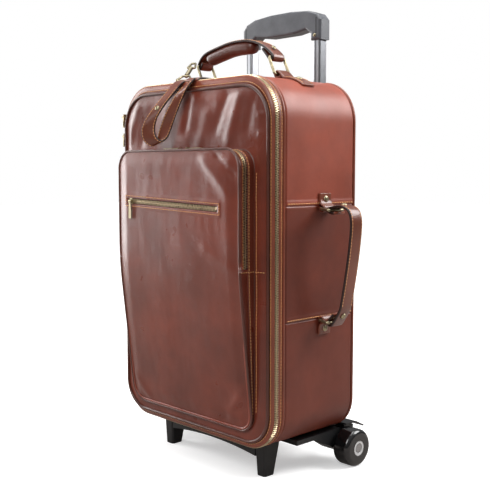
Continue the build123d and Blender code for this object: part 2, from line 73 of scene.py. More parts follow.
def middle_y(first, second):
    """Half way between the front of one CAD node and the back of the same or another one."""
    return (case_box(first)[0].y + case_box(second)[1].y) / 2


HALF = case_box("upper_wrap")[1].x
TOP = case_box("upper_wrap")[1].z
BOTTOM = case_box("lower_wrap")[0].z
WRAP_BACK = case_box("upper_wrap")[1].y
BACK = case_box("back_panel")[1].y
SEAMS = (case_box("side_patches")[0].z, case_box("side_patches")[1].z)
CORNER_TOP, CORNER_BOTTOM = 58.0, 50.0
ZIP_HALF_WIDTH = 3.5
ZIP_Y = middle_y("main_zip_body_half", "main_zip_lid_half")
HINGE_LOW, HINGE_HIGH = case_box("hinge_strip")[0].z, case_box("hinge_strip")[1].z

LID_CORD = 4.0  # the corded edge outside the lid's face
LID_HALF = case_box("lid_face")[1].x + LID_CORD
LID_LOW = case_box("lid_face")[0].z - LID_CORD
LID_HIGH = case_box("lid_face")[1].z + LID_CORD
LID_Y = case_box("lid_face")[0].y
LID_CORNERS = (44.0, 52.0)

POCKET_CORD = 2.6  # the corded edge outside the pocket's face
POCKET_HALF = case_box("pocket_face_lower")[1].x + POCKET_CORD
POCKET_LOW = case_box("pocket_gusset_back")[0].z - 2.0
POCKET_HIGH = case_box("pocket_face_upper")[1].z + POCKET_CORD
POCKET_Y = case_box("pocket_face_upper")[0].y
POCKET_CORNER = 26.0
POCKET_SPLIT = case_box("pocket_face_upper")[0].z
POCKET_FOOT_DEPTH = 3.0
POCKET_LEAN = case_box("pocket_face_lower")[1].y - POCKET_Y - POCKET_FOOT_DEPTH
POCKET_TAPER = POCKET_LEAN / (POCKET_SPLIT - POCKET_LOW)
POCKET_ZIP_Y = middle_y("pocket_zip_flap_half", "pocket_zip_lid_half")
SMALL_ZIP_TILT = radians(1.9)
SMALL_ZIP_LEFT, SMALL_ZIP_RIGHT = -108.0, 94.0
SMALL_ZIP_Z = 390.0

# Half width, low edge, high edge, lower and upper corner radius of each rounded outline.
CASE_SHAPE = (HALF, BOTTOM, TOP, CORNER_BOTTOM, CORNER_TOP)
LID_SHAPE = (LID_HALF, LID_LOW, LID_HIGH, *LID_CORNERS)
POCKET_SHAPE = (POCKET_HALF, POCKET_LOW, POCKET_HIGH, POCKET_CORNER, POCKET_CORNER)

RIGHTWARD, BACKWARD, UPWARD = Vector((1, 0, 0)), Vector((0, 1, 0)), Vector((0, 0, 1))
FORWARD = Vector((0, -1, 0))


# ---- mesh tools -----------------------------------------------------------------------------
def link_piece(name, points, faces, body, materials, slot, replaces=(), pick=None, flat=False):
    """Make one mesh piece from case millimetres and let it ride on a body."""
    mesh = bpy.data.meshes.new(name)
    mesh.from_pydata([place(p) for p in points], [], faces)
    for material in materials:
        mesh.materials.append(material)
    for polygon in mesh.polygons:
        polygon.use_smooth = not flat
        if pick:
            polygon.material_index = pick(polygon.index)
    work = bmesh.new()
    work.from_mesh(mesh)
    bmesh.ops.recalc_face_normals(work, faces=work.faces)
    work.to_mesh(mesh)
    work.free()
    piece = bpy.data.objects.new(name, mesh)
    bpy.context.scene.collection.objects.link(piece)
    if body:
        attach(piece, body)
    if replaces:
        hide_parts(*replaces)
    return piece


def grid_faces(rows, columns, closed_rows=False, closed_columns=False):
    """Quads over points that are listed row by row."""
    faces = []
    for i in range(rows if closed_rows else rows - 1):
        for j in range(columns if closed_columns else columns - 1):
            right = (j + 1) % columns
            near, far = i * columns, (i + 1) % rows * columns
            faces.append((near + j, near + right, far + right, far + j))
    return faces


def sweep(path, outs, sides, profile, closed=False):
    """A closed profile of (out, side) offsets carried along a path. Profile may be a function."""
    points = []
    for i, point in enumerate(path):
        section = profile(i / (len(path) - 1)) if callable(profile) else profile
        points += [point + outs[i] * a + sides[i] * b for a, b in section]
    width = len(points) // len(path)
    faces = grid_faces(len(path), width, closed, True)
    if not closed:
        faces.append(tuple(range(width)))
        faces.append(tuple(range(len(points) - width, len(points))))
    return points, faces


def join(shapes):
    """Several (points, faces) shapes as one."""
    points, faces = [], []
    for some_points, some_faces in shapes:
        base = len(points)
        points += some_points
        faces += [tuple(base + i for i in face) for face in some_faces]
    return points, faces


def circle(radius, count=12, out=0.0, side=0.0):
    """A round profile."""
    return [
        (out + radius * cos(2 * pi * k / count), side + radius * sin(2 * pi * k / count))
        for k in range(count)
    ]


def between(start, end, steps):
    """Evenly spaced values from start to end, both included."""
    return [start + (end - start) * k / steps for k in range(steps + 1)]


def smooth(t):
    t = min(max(t, 0.0), 1.0)
    return t * t * (3 - 2 * t)


def rumple(x, y, z, scale, seed=0.0):
    """Smooth noise between about -1 and 1, whose lumps are scale mm apart."""
    return noise.noise(Vector((x / scale + seed, y / scale + 3.1 * seed, z / scale - 2.3 * seed)))


def outline(half, low, high, r_low, r_high, heights=None, arc=14, across=36, upward=60):
    """A rounded rectangle in the XZ plane: points and outward directions, from its lower left."""
    points, outs = [], []

    def line(start, end, steps, out, levels=None):
        stops = levels or [start[1] + (end[1] - start[1]) * k / steps for k in range(steps)]
        for k, level in enumerate(stops):
            t = k / len(stops) if levels is None else None
            x = start[0] + (end[0] - start[0]) * t if levels is None else start[0]
            points.append(Vector((x, 0, level)))
            outs.append(Vector(out))

    def corner(cx, cz, radius, first):
        for k in range(arc):
            angle = first + pi / 2 * k / arc
            out = Vector((cos(angle), 0, sin(angle)))
            points.append(Vector((cx, 0, cz)) + out * radius)
            outs.append(out)

    x_low, x_high = half - r_low, half - r_high
    z_low, z_high = low + r_low, high - r_high
    rising = [z for z in heights if z_low < z < z_high] if heights else None
    line((-x_low, low), (x_low, low), across, (0, 0, -1))
    corner(x_low, z_low, r_low, -pi / 2)
    line((half, z_low), (half, z_high), upward, (1, 0, 0), [z_low] + rising if rising else None)
    corner(x_high, z_high, r_high, 0)
    line((x_high, high), (-x_high, high), across, (0, 0, 1))
    corner(-x_high, z_high, r_high, pi / 2)
    line((-half, z_high), (-half, z_low), upward, (-1, 0, 0), [z_high] + rising[::-1] if rising else None)
    corner(-x_low, z_low, r_low, pi)
    return points, outs


def drawn_in(shape, inset):
    """An outline's measures with its edge moved inwards."""
    half, low, high, r_low, r_high = shape
    return half - inset, low + inset, high - inset, r_low - inset, r_high - inset


def case_path(inset=0.0, **more):
    return outline(*drawn_in(CASE_SHAPE, inset), **more)


def lid_path(inset=0.0):
    return outline(*drawn_in(LID_SHAPE, inset))


def part_of(path, keep):
    """The stretch of a closed path whose points pass keep(), in order."""
    points, outs = path
    count = len(points)
    kept = [i for i in range(count) if keep(points[i])]
    first = next(i for i in kept if not keep(points[i - 1]))
    order = [(first + k) % count for k in range(len(kept))]
    return [points[i] for i in order], [outs[i] for i in order]


def cut_path(path, height, way):
    """The part of a closed path above (way 1) or below (way -1) a height, ending exactly there."""
    points, outs = part_of(path, lambda p: (p.z - height) * way >= 0)
    ends = [Vector((points[k].x, 0, height)) for k in (0, -1)]
    return [ends[0]] + points + [ends[1]], [outs[0]] + outs + [outs[-1]]


def standing(path, profile, closed=True):
    """A profile of (outward, y) offsets carried along a path that stands in the XZ plane."""
    points, outs = path
    return sweep(points, outs, [BACKWARD] * len(points), profile, closed)


def spaced(points, normals, pitch, closed=False):
    """Places every pitch mm along a path: (point, direction along, normal)."""
    count = len(points)
    result, travelled, wanted = [], 0.0, pitch / 2
    for i in range(count if closed else count - 1):
        here, there = points[i], points[(i + 1) % count]
        length = (there - here).length
        while length > 0 and travelled + length >= wanted:
            t = (wanted - travelled) / length
            normal = normals[i].lerp(normals[(i + 1) % count], t).normalized()
            result.append((here.lerp(there, t), (there - here).normalized(), normal))
            wanted += pitch
        travelled += length
    return result


def curve_through(points, steps=10):
    """A smooth line (Catmull-Rom) through the points."""
    points = [Vector(p) for p in points]
    padded = [points[0] * 2 - points[1]] + points + [points[-1] * 2 - points[-2]]
    line = []
    for a, b, c, d in zip(padded, padded[1:], padded[2:], padded[3:]):
        for k in range(steps):
            t = k / steps
            square = (a * 2 - b * 5 + c * 4 - d) * t**2
            cube = (b * 3 - a - c * 3 + d) * t**3
            line.append((b * 2 + (c - a) * t + square + cube) / 2)
    return line + [points[-1]]


def across_path(path, sides):
    """Directions that stand up from a ribbon: square to its path and to its width."""
    ups = []
    for i, side in enumerate(sides):
        ahead = path[min(i + 1, len(path) - 1)] - path[max(i - 1, 0)]
        ups.append(ahead.cross(side).normalized())
    return ups


def ribbon_profile(width, thick, crown=0.3):
    """A strap's section as (up, across): nearly flat faces and rounded edges."""
    half, edge = width / 2, thick / 2
    top = [(edge + crown * (1 - (s / 4) ** 2), s / 4 * (half - edge)) for s in range(-4, 5)]
    turns = [k * pi / 5 for k in range(1, 5)]
    right = [(edge * cos(a), half - edge + edge * sin(a)) for a in turns]
    bottom = [(-edge, -s / 4 * (half - edge)) for s in range(-4, 5)]
    left = [(edge * cos(pi + a), -half + edge + edge * sin(pi + a)) for a in turns]
    return top + right + bottom + left


RIBBON_TOP, RIBBON_EDGE = 9, 4  # how many profile points its face and its edge have


def ribbon_pick(face):
    """Painted edges take the second material of a ribbon."""
    k = face % (2 * RIBBON_TOP + 2 * RIBBON_EDGE)
    on_right = RIBBON_TOP - 1 <= k < RIBBON_TOP + RIBBON_EDGE
    on_left = k >= 2 * RIBBON_TOP + RIBBON_EDGE - 1
    return 1 if on_right or on_left else 0


def lathe(profile, centre, axis, count=28):
    """A turned shape: profile of (radius, height) about an axis from a centre."""
    axis = Vector(axis).normalized()
    across = axis.orthogonal().normalized()
    other = axis.cross(across)
    points = []
    for radius, height in profile:
        for k in range(count):
            angle = 2 * pi * k / count
            out = across * cos(angle) + other * sin(angle)
            points.append(Vector(centre) + axis * height + out * radius)
    faces = grid_faces(len(profile), count, False, True)
    faces += [tuple(range(count)), tuple(range(len(points) - count, len(points)))]
    return points, faces


def dome(centre, axis, radius, height):
    """A rivet head with a turned rim."""
    profile = [(radius, 0), (radius * 1.02, height * 0.3), (radius * 0.9, height * 0.55)]
    profile += [(radius * 0.8, height * 0.6)]
    turns = [k * pi / 12 for k in range(1, 6)]
    profile += [(radius * 0.8 * cos(a), height * (0.6 + 0.4 * sin(a))) for a in turns]
    profile += [(radius * 0.06, height)]
    return lathe(profile, centre, axis)


def thread_bead(centre, along, up, length, radius):
    """One stitch: a thread that dips into the leather at both ends."""
    side = along.cross(up)
    rings = [(-0.5, 0.35, -0.9), (-0.36, 0.85, -0.15), (0, 1.0, 0.15)]  # along, size, lift
    rings += [(-s, size, lift) for s, size, lift in rings[1::-1]]
    points = []
    for s, size, lift in rings:
        middle = centre + along * (s * length) + up * (lift * radius)
        for k in range(6):
            angle = pi / 3 * k
            points.append(middle + (side * cos(angle) + up * sin(angle)) * radius * size)
    faces = grid_faces(len(rings), 6, False, True)
    faces += [tuple(range(6)), tuple(range(24, 30))]
    return points, faces


def stitches(rows, pitch=4.4, length=3.5, radius=0.58):
    """Rows of stitches. Each row is (points, normals, closed)."""
    shapes = []
    for points, normals, closed in rows:
        for point, along, normal in spaced(points, normals, pitch, closed):
            up = (normal - along * normal.dot(along)).normalized()
            shapes.append(thread_bead(point, along, up, length, radius))
    return join(shapes)


TOOTH_LEVELS = ((-0.9, 0.8, 3.5, -0.6), (0.4, 0.8, 3.5, -0.7), (1.1, 0.45, 3.0, -0.1))


def tooth(centre, along, out, side, way):
    """One cast zip tooth that reaches way (+1 or -1) along side over the zip's middle."""
    points = []
    for lift, half_long, start, end in TOOTH_LEVELS:
        for a, b in ((-1, start), (1, start), (1, end), (-1, end)):
            points.append(centre + along * (a * half_long) + out * lift - side * (way * b))
    faces = grid_faces(3, 4, False, True) + [(0, 1, 2, 3), (8, 9, 10, 11)]
    return points, faces


def teeth(path, outs, side, way, closed=False, pitch=3.2):
    """One half of a zip's teeth; the other half (way -1) sits half a pitch further on."""
    shapes = []
    for k, (point, along, out) in enumerate(spaced(path, outs, pitch / 2, closed)):
        if k % 2 == (0 if way > 0 else 1):
            shapes.append(tooth(point, along, out, side, way))
    return join(shapes)


# ---- materials ------------------------------------------------------------------------------
class Nodes:
    """A short way to write a node material."""

    def __init__(self, name):
        self.material = bpy.data.materials.new(name)
        self.material.use_nodes = True
        self.tree = self.material.node_tree
        self.shader = self.tree.nodes["Principled BSDF"]
        self.coords = self.tree.nodes.new("ShaderNodeTexCoord").outputs["Object"]

    def make(self, kind, settings=None, **inputs):
        node = self.tree.nodes.new(kind)
        for key, value in (settings or {}).items():
            setattr(node, key, value)
        for key, value in inputs.items():
            socket = node.inputs[key.replace("_", " ")]
            self.feed(socket, value)
        return node

    def feed(self, socket, value):
        if isinstance(value, bpy.types.NodeSocket):
            self.tree.links.new(value, socket)
        else:
            socket.default_value = value

    def noise(self, scale, detail=4.0, roughness=0.55, stretch=None):
        vector = self.coords
        if stretch:
            vector = self.make("ShaderNodeMapping", Vector=self.coords, Scale=stretch).outputs[0]
        return self.make(
            "ShaderNodeTexNoise", Vector=vector, Scale=scale, Detail=detail, Roughness=roughness
        ).outputs["Fac"]

    def cells(self, scale, feature="DISTANCE_TO_EDGE"):
        node = self.make("ShaderNodeTexVoronoi", {"feature": feature}, Vector=self.coords, Scale=scale)
        return node.outputs[0]

    def wave(self, axis, scale):
        settings = {"bands_direction": axis}
        return self.make("ShaderNodeTexWave", settings, Vector=self.coords, Scale=scale).outputs["Fac"]

    def ramp(self, value, *stops):
        node = self.make("ShaderNodeValToRGB", Fac=value)
        ramp = node.color_ramp
        while len(ramp.elements) < len(stops):
            ramp.elements.new(0.5)
        for element, (position, colour) in zip(ramp.elements, stops):
            element.position = position
            element.color = (*colour, 1) if len(colour) == 3 else colour
        return node.outputs["Color"]

    def span(self, value, low, high, start=0.3, end=0.7):
        limits = {"From_Min": start, "From_Max": end, "To_Min": low, "To_Max": high}
        return self.make("ShaderNodeMapRange", Value=value, **limits).outputs[0]

    def mix(self, factor, a, b, blend="MIX"):
        node = self.make("ShaderNodeMix", {"data_type": "RGBA", "blend_type": blend})
        self.feed(node.inputs[0], factor)
        self.feed(node.inputs[6], a if isinstance(a, bpy.types.NodeSocket) else (*a, 1))
        self.feed(node.inputs[7], b if isinstance(b, bpy.types.NodeSocket) else (*b, 1))
        return node.outputs[2]

    def bump(self, height, strength, distance, normal=None):
        node = self.make("ShaderNodeBump", Height=height, Strength=strength, Distance=distance)
        if normal:
            self.tree.links.new(normal, node.inputs["Normal"])
        return node.outputs[0]

    def finish(self, **inputs):
        for key, value in inputs.items():
            self.feed(self.shader.inputs[key.replace("_", " ")], value)
        return self.material


def shade(colour, factor):
    return tuple(min(1.0, channel * factor) for channel in colour)


def leather(name, colour, rough=0.33, grain=700.0, relief=0.25, coat=0.35, mottle=0.35, crease=0.0,
            height_tint_and_light=()):
    """Finished leather: mottled, dyed colour, pebbled grain, faint creases, a waxed top coat, lighter
    rubbed edges and painted shade in its hollows; the side's leather also takes a tint by height with
    painted light towards the top.
    """
    n = Nodes(name)
    broad = n.noise(9.0, 3.0)
    fine = n.noise(60.0, 5.0)
    surface_colour = n.ramp(broad, (0.32, shade(colour, 1 - mottle)), (0.5, colour), (0.7, shade(colour, 1 + mottle)))
    surface_colour = n.mix(n.span(fine, 0.0, 0.35), surface_colour, shade(colour, 0.6), "MIX")
    # The tint by height on the side: darker on the middle panel between the seams, and lighter towards the
    # top as painted light from above.
    if height_tint_and_light:
        height = n.make("ShaderNodeSeparateXYZ", Vector=n.coords).outputs["Z"]
        tint = n.ramp(height, *[(z, (factor, factor, factor)) for z, factor in height_tint_and_light])
        surface_colour = n.mix(1.0, surface_colour, tint, "MULTIPLY")
    # Pointiness: convex edges are lightened as rubbed wear, and hollows are darkened below as painted
    # shade.
    edge = n.make("ShaderNodeNewGeometry").outputs["Pointiness"]
    surface_colour = n.mix(n.span(edge, 0.0, 0.55, 0.53, 0.60), surface_colour, shade(colour, 1.9))
    # Painted shade: where the mesh is hollow, in creases and recesses, the leather is darkened towards 0.3
    # of its colour.
    surface_colour = n.mix(n.span(edge, 0.7, 0.0, 0.36, 0.46), surface_colour, shade(colour, 0.3))
    pebble = n.span(n.cells(grain), 0.0, 1.0, 0.0, 0.25)
    normal = n.bump(n.noise(grain * 0.45, 3.0), relief * 0.6, 0.0006)
    normal = n.bump(pebble, relief, 0.00035, normal)
    if crease:
        lines = n.noise(22.0, 2.5, 0.5, (1.0, 1.0, 0.5))
        normal = n.bump(lines, crease, 0.006, normal)
    roughness = n.span(n.noise(30.0, 2.0), rough * 0.85, rough * 1.2, 0.2, 0.8)
    return n.finish(
        Base_Color=surface_colour, Roughness=roughness, Normal=normal, Coat_Weight=coat, Coat_Roughness=rough * 0.65,
        Specular_IOR_Level=0.4,
    )


def edge_paint(name, colour):
    n = Nodes(name)
    surface_colour = n.ramp(n.noise(180.0), (0.3, shade(colour, 0.7)), (0.7, shade(colour, 1.4)))
    normal = n.bump(n.noise(420.0), 0.25, 0.0004)
    return n.finish(Base_Color=surface_colour, Roughness=0.38, Normal=normal)


def thread(name, colour):
    """Waxed thread with a visible twist."""
    n = Nodes(name)
    twist = n.wave("DIAGONAL", 900.0)
    surface_colour = n.mix(twist, shade(colour, 0.7), shade(colour, 1.15))
    normal = n.bump(twist, 0.4, 0.0003)
    return n.finish(Base_Color=surface_colour, Roughness=0.62, Normal=normal, Sheen_Weight=0.3)


def brass(name, colour, rough=0.32, dark=0.35):
    """Aged brass: dark in its hollows, brighter where it is rubbed."""
    n = Nodes(name)
    tarnish = n.noise(220.0, 6.0, 0.65)
    surface_colour = n.ramp(tarnish, (0.35, shade(colour, dark)), (0.62, colour))
    edge = n.make("ShaderNodeNewGeometry").outputs["Pointiness"]
    surface_colour = n.mix(n.span(edge, 0.0, 0.8, 0.5, 0.56), surface_colour, shade(colour, 1.5))
    roughness = n.span(tarnish, rough * 1.4, rough * 0.8)
    normal = n.bump(n.noise(900.0), 0.15, 0.0002)
    return n.finish(Base_Color=surface_colour, Metallic=1.0, Roughness=roughness, Normal=normal)


def steel(name, colour, rough=0.25, brushed=(1.0, 1.0, 0.02), painted_reflection_bands=0.0):
    """Drawn metal with fine lines along its length, and optionally dark bands across it as a painted
    reflection.
    """
    n = Nodes(name)
    lines = n.noise(2600.0, 3.0, 0.6, brushed)
    surface_colour = n.mix(n.span(lines, 0.0, 1.0), shade(colour, 0.85), shade(colour, 1.1))
    if painted_reflection_bands:
        # Painted reflection: dark bands across the tube stand in for the dark surroundings that the metal
        # reflects.
        surface_colour = n.mix(n.span(n.wave("X", painted_reflection_bands), 0.0, 1.0, 0.1, 0.6), shade(colour, 0.35), surface_colour)
    normal = n.bump(lines, 0.08, 0.0002)
    return n.finish(
        Base_Color=surface_colour, Metallic=1.0, Roughness=n.span(lines, rough * 0.8, rough * 1.25), Normal=normal
    )


def plastic(name, colour, rough=0.42, texture=0.12, coat=0.0, scale=1500.0):
    """Moulded plastic with a fine spark-eroded texture and faint scuffs."""
    n = Nodes(name)
    scuff = n.noise(45.0, 7.0, 0.7)
    surface_colour = n.ramp(scuff, (0.35, shade(colour, 0.85)), (0.7, shade(colour, 1.2)))
    normal = n.bump(n.noise(scale, 2.0), texture, 0.0003)
    roughness = n.span(scuff, rough * 0.85, rough * 1.25)
    return n.finish(
        Base_Color=surface_colour, Roughness=roughness, Normal=normal, Coat_Weight=coat, Coat_Roughness=0.12
    )


def woven(name, colour, pitch=1600.0):
    """Plain woven cloth: two crossed sets of threads."""
    n = Nodes(name)
    weave = n.mix(0.5, n.wave("X", pitch / 6.3), n.wave("Z", pitch / 6.3))
    surface_colour = n.mix(weave, shade(colour, 0.65), shade(colour, 1.2))
    normal = n.bump(weave, 0.5, 0.0004)
    return n.finish(Base_Color=surface_colour, Roughness=0.85, Normal=normal, Sheen_Weight=0.25)


LOW_SEAM, HIGH_SEAM = (seam * MM for seam in SEAMS)
SIDE_TINT_AND_PAINTED_LIGHT = (  # height in metres and the factor on the side's leather there: darker on the middle panel between the seams, and lighter towards the top as painted light from above
    (0.0, 0.72),
    (LOW_SEAM - MM, 0.66),
    (LOW_SEAM, 0.50),
    (HIGH_SEAM - MM, 0.58),
    (HIGH_SEAM, 1.06),
    (0.6, 1.22),
)
SOFT = {"grain": 900.0, "relief": 0.14, "mottle": 0.22, "crease": 0.08}
TRIM = {"grain": 760.0, "relief": 0.2, "mottle": 0.3}
FRONT_LEATHER = leather(
    "front_leather", (0.165, 0.033, 0.018), 0.30, 620.0, relief=0.2, coat=0.25, mottle=0.3, crease=0.3
)
SIDE_LEATHER = leather("side_leather", (0.25, 0.050, 0.026), 0.42, coat=0.08, height_tint_and_light=SIDE_TINT_AND_PAINTED_LIGHT, **SOFT)
BACK_LEATHER = leather("back_leather", (0.18, 0.038, 0.022), 0.36, coat=0.15, **SOFT)
BAND_LEATHER = leather("band_leather", (0.22, 0.050, 0.024), 0.34, coat=0.25, **TRIM)
CORD_LEATHER = leather("cord_leather", (0.085, 0.022, 0.013), 0.31, coat=0.3, **TRIM)
STRAP_LEATHER = leather("strap_leather", (0.17, 0.042, 0.020), 0.30, 700.0, 0.2, 0.4, 0.3)
ROLL_LEATHER = leather("roll_leather", (0.10, 0.025, 0.015), 0.32, 640.0, 0.25, 0.4, 0.3, 0.1)
EDGE_PAINT = edge_paint("edge_paint", (0.022, 0.008, 0.006))
THREAD = thread("thread", (0.80, 0.36, 0.12))
ZIP_BRASS = brass("zip_brass", (0.46, 0.37, 0.24), 0.30, 0.35)
AGED_BRASS = brass("aged_brass", (0.36, 0.31, 0.20), 0.30, 0.28)
TAPE = woven("zip_tape", (0.035, 0.016, 0.011), 2400.0)
LINING = woven("lining", (0.40, 0.31, 0.21))
BOARD = plastic("board", (0.10, 0.09, 0.08), 0.7, 0.3)
TUBE_METAL = steel("tube_metal", (0.52, 0.53, 0.56), 0.34, painted_reflection_bands=40.0)
BOLT_STEEL = steel("bolt_steel", (0.42, 0.42, 0.43), 0.3, brushed=(1.0, 1.0, 1.0))
BASE_PLASTIC = plastic("base_plastic", (0.010, 0.010, 0.011), 0.40, 0.2)
GRIP_PLASTIC = plastic("grip_plastic", (0.085, 0.09, 0.102), 0.36, 0.08, 0.15)
# Painted shade for the grip's grooves: a near-black strip.
GROOVE_SHADE = plastic("groove_shade", (0.006, 0.006, 0.007), 0.5, 0.1)
BUTTON_PLASTIC = plastic("button_plastic", (0.02, 0.02, 0.022), 0.4, 0.2)
TYRE_RUBBER = plastic("tyre_rubber", (0.004, 0.004, 0.0045), 0.18, 0.05, 0.5)
HUB_PLASTIC = plastic("hub_plastic", (0.62, 0.62, 0.62), 0.28, 0.03, 0.3)
STRAP_MATERIALS = [STRAP_LEATHER, EDGE_PAINT]

CAD_MATERIALS = {
    "stiffener_boards": BOARD,
    "foot_base": BASE_PLASTIC,
    "wheel_brackets": BASE_PLASTIC,
    "axle_bolts": BOLT_STEEL,
    "screws": BOLT_STEEL,
    "trolley_sleeves": TUBE_METAL,
    "trolley_brackets": BASE_PLASTIC,
    "trolley_mid_tubes": TUBE_METAL,
    "trolley_inner_tubes": TUBE_METAL,
    "grip": GRIP_PLASTIC,
    "grip_button": BUTTON_PLASTIC,
    "tyre_left": TYRE_RUBBER,
    "tyre_right": TYRE_RUBBER,
    "hub_left": HUB_PLASTIC,
    "hub_right": HUB_PLASTIC,
    "body_lining": LINING,
    "lid_lining": LINING,
}


def paint_cad():
    """Every carried-over CAD node gets its material; what the table leaves out is brass."""
    for name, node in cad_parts.items():
        material = CAD_MATERIALS.get(name, AGED_BRASS)
        node.data.materials.clear()
        node.data.materials.append(material)


# ---- case body ------------------------------------------------------------------------------
WIDE_STITCH, FINE_STITCH = (5.0, 3.8, 0.75), (3.8, 3.0, 0.6)  # pitch, length and radius


def sew(name, rows, body, *spacing):
    """A piece made of rows of stitches."""
    return link_piece(name, *stitches(rows, *spacing), body, [THREAD], "leather_trim")


def wrap_shape(point, out, y):
    """How far the soft wrap stands off its outline at one point."""
    depth = smooth((y - WRAP_FRONT) / 25) * smooth((WRAP_BACK - y) / 25)
    dents = rumple(point.x, y, point.z, 95, 4.0) * 1.1 + rumple(point.x, y, point.z, 38, 9.0) * 0.35
    lift = dents * depth
    if abs(out.x) > 0.8:
        for seam in SEAMS:
            gap = point.z - seam
            lift -= 0.9 * exp(-((gap / 0.9) ** 2))
            lift += 0.7 * smooth(gap / 1.5) * (1 - smooth((gap - 6) / 3))
    return lift


def leather_wrap():
    """The band of leather round the case, with its stitched cross seams on both sides."""
    heights = [BOTTOM + 8 * k for k in range(70)]
    for seam in SEAMS:
        heights = [z for z in heights if abs(z - seam) > 9]
        heights += [seam + gap for gap in (-8, -4, -2, -1.2, -0.6, 0, 0.6, 1.2, 2, 4, 6, 7.5, 9)]
    points, outs = case_path(heights=sorted(heights))
    thick, depth_steps, edge = 3.4, 28, 2.4
    outer = []
    for k in range(depth_steps + 1):
        t = (1 - cos(pi * k / depth_steps)) / 2
        y = WRAP_FRONT + 0.2 + (WRAP_BACK - WRAP_FRONT - 0.4) * t
        near_edge = min(y - WRAP_FRONT, WRAP_BACK - y)
        outer.append((-1.6 * (1 - smooth(near_edge / edge)) ** 2, y))
    profile = outer + [(-thick, outer[-1][1]), (-thick, outer[0][1])]
    shape = []
    for point, out in zip(points, outs):
        for a, y in profile:
            shape.append(point + out * (a + wrap_shape(point, out, y)) + BACKWARD * y)
    faces = grid_faces(len(points), len(profile), True, True)
    link_piece(
        "leather_wrap", shape, faces, "case_body", [SIDE_LEATHER], "leather_side",
        ("upper_wrap", "side_patches", "lower_wrap"),
    )
    rows = []
    for side in (-1, 1):
        for seam in SEAMS:
            point, out = Vector((side * HALF, 0, seam + 3.2)), RIGHTWARD * side
            line = []
            for y in between(WRAP_FRONT + 3, WRAP_BACK - 3, 39):
                line.append(point + out * (wrap_shape(point, out, y) + 0.25) + BACKWARD * y)
            rows.append((line, [out] * len(line), False))
    sew("wrap_stitches", rows, "case_body", *WIDE_STITCH)


def cord(name, path, out, y, radius, body, replaces=(), closed=True, material=CORD_LEATHER, lean=False):
    """Leather piping: a cord wrapped in leather, on the edge it is sewn into."""
    points, faces = standing(path, circle(radius, 14, out, y), closed)
    if lean:
        points = [p + Vector((0, pocket_slope(p.z), 0)) for p in points]
    return link_piece(name, points, faces, body, [material], "leather_trim", replaces)


def on_path(path, out, y, flip=1):
    """A row for stitches along a standing path, facing outwards."""
    points, outs = path
    line = [point + way * out + BACKWARD * y for point, way in zip(points, outs)]
    return line, [way * flip for way in outs], True


def body_edges():
    """Welts on both edges of the wrap, and the crowned band that carries the zip."""
    welt = WRAP_FRONT - 2.6
    cord("front_welt", case_path(), -1.5, welt, 2.5, "case_body", ("body_piping",), material=BAND_LEATHER)
    cord("back_welt", case_path(), -1.2, WRAP_BACK + 2.25, 2.2, "case_body", material=BAND_LEATHER)
    band_front, band_back = case_box("body_zip_band")[0].y, case_box("body_zip_band")[1].y
    middle, half = (band_front + band_back) / 2, (band_back - band_front) / 2
    crowned = [(-0.9 * (k / 6) ** 4, middle + half * k / 6) for k in range(-6, 7)]
    profile = crowned + [(-2.5, band_back), (-2.5, band_front)]
    shape = standing(case_path(), profile)
    link_piece("zip_band", *shape, "case_body", [BAND_LEATHER], "leather_trim", ("body_zip_band",))
    row = on_path(case_path(), 0.15, middle + 1.2)
    sew("zip_band_stitches", [row], "case_body")


def zip_tape(name, shape, body, node):
    link_piece(name, *shape, body, [TAPE], "zip_brass", (node,))


def zip_teeth(name, shape, body):
    link_piece(name, *shape, body, [ZIP_BRASS], "zip_brass", flat=True)


def main_zip():
    """Tape and cast teeth on both halves, leaving out the stretch at the hinge strip."""

    def off_hinge(point):
        return not (point.x < 0 and HINGE_LOW < point.z < HINGE_HIGH)

    path = part_of(case_path(upward=90), off_hinge)
    for name, way, body, node in (
        ("body_half", 1, "case_body", "main_zip_body_half"),
        ("lid_half", -1, "lid", "main_zip_lid_half"),
    ):
        inner, outer = ZIP_Y + way * 0.25, ZIP_Y + way * 3.6
        tape = standing(path, [(-1.6, inner), (-1.2, outer), (-2.4, outer), (-2.6, inner)], False)
        zip_tape(f"zip_tape_{name}", tape, body, node)
        line = [p + o * -0.2 + BACKWARD * ZIP_Y for p, o in zip(*path)]
        zip_teeth(f"zip_teeth_{name}", teeth(line, path[1], BACKWARD, -way), body)


def hinge_strip():
    """The leather strip at the hinge, which on the case folds as the lid opens; here it is fixed in place.
    """
    points = [Vector((-HALF, 0, z)) for z in between(HINGE_LOW, HINGE_HIGH, 60)]
    front, back = ZIP_Y - ZIP_HALF_WIDTH, ZIP_Y + ZIP_HALF_WIDTH
    outer = [(-0.2 - 0.5 * sin(pi * k / 8), front + (back - front) * k / 8) for k in range(9)]
    profile = outer + [(-2.4, back), (-2.4, front)]
    shape = standing((points, [Vector((-1, 0, 0))] * len(points)), profile, False)
    strip = link_piece("lid_hinge_strip", *shape, None, [BAND_LEATHER], "leather_trim", ("hinge_strip",))
    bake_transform(strip)


def row_heights(low, high, r_low, r_high, rows, extra=()):
    """Heights for a sheet's rows: round the lower corners, up the side and round the upper ones."""
    arc = 9
    heights = [low + r_low * (1 - cos(pi / 2 * k / arc)) for k in range(arc)]
    heights += [low + r_low + (high - r_high - low - r_low) * k / rows for k in range(rows)]
    heights += [high - r_high * (1 - sin(pi / 2 * k / arc)) for k in range(arc + 1)]
    heights = [z for z in heights if all(abs(z - e) > 1.5 for e in extra)]
    return sorted(heights + list(extra))


def half_width_at(z, half, low, high, r_low, r_high):
    if z < low + r_low:
        return half - r_low + sqrt(max(0, r_low**2 - (low + r_low - z) ** 2))
    if z > high - r_high:
        return half - r_high + sqrt(max(0, r_high**2 - (z - high + r_high) ** 2))
    return half


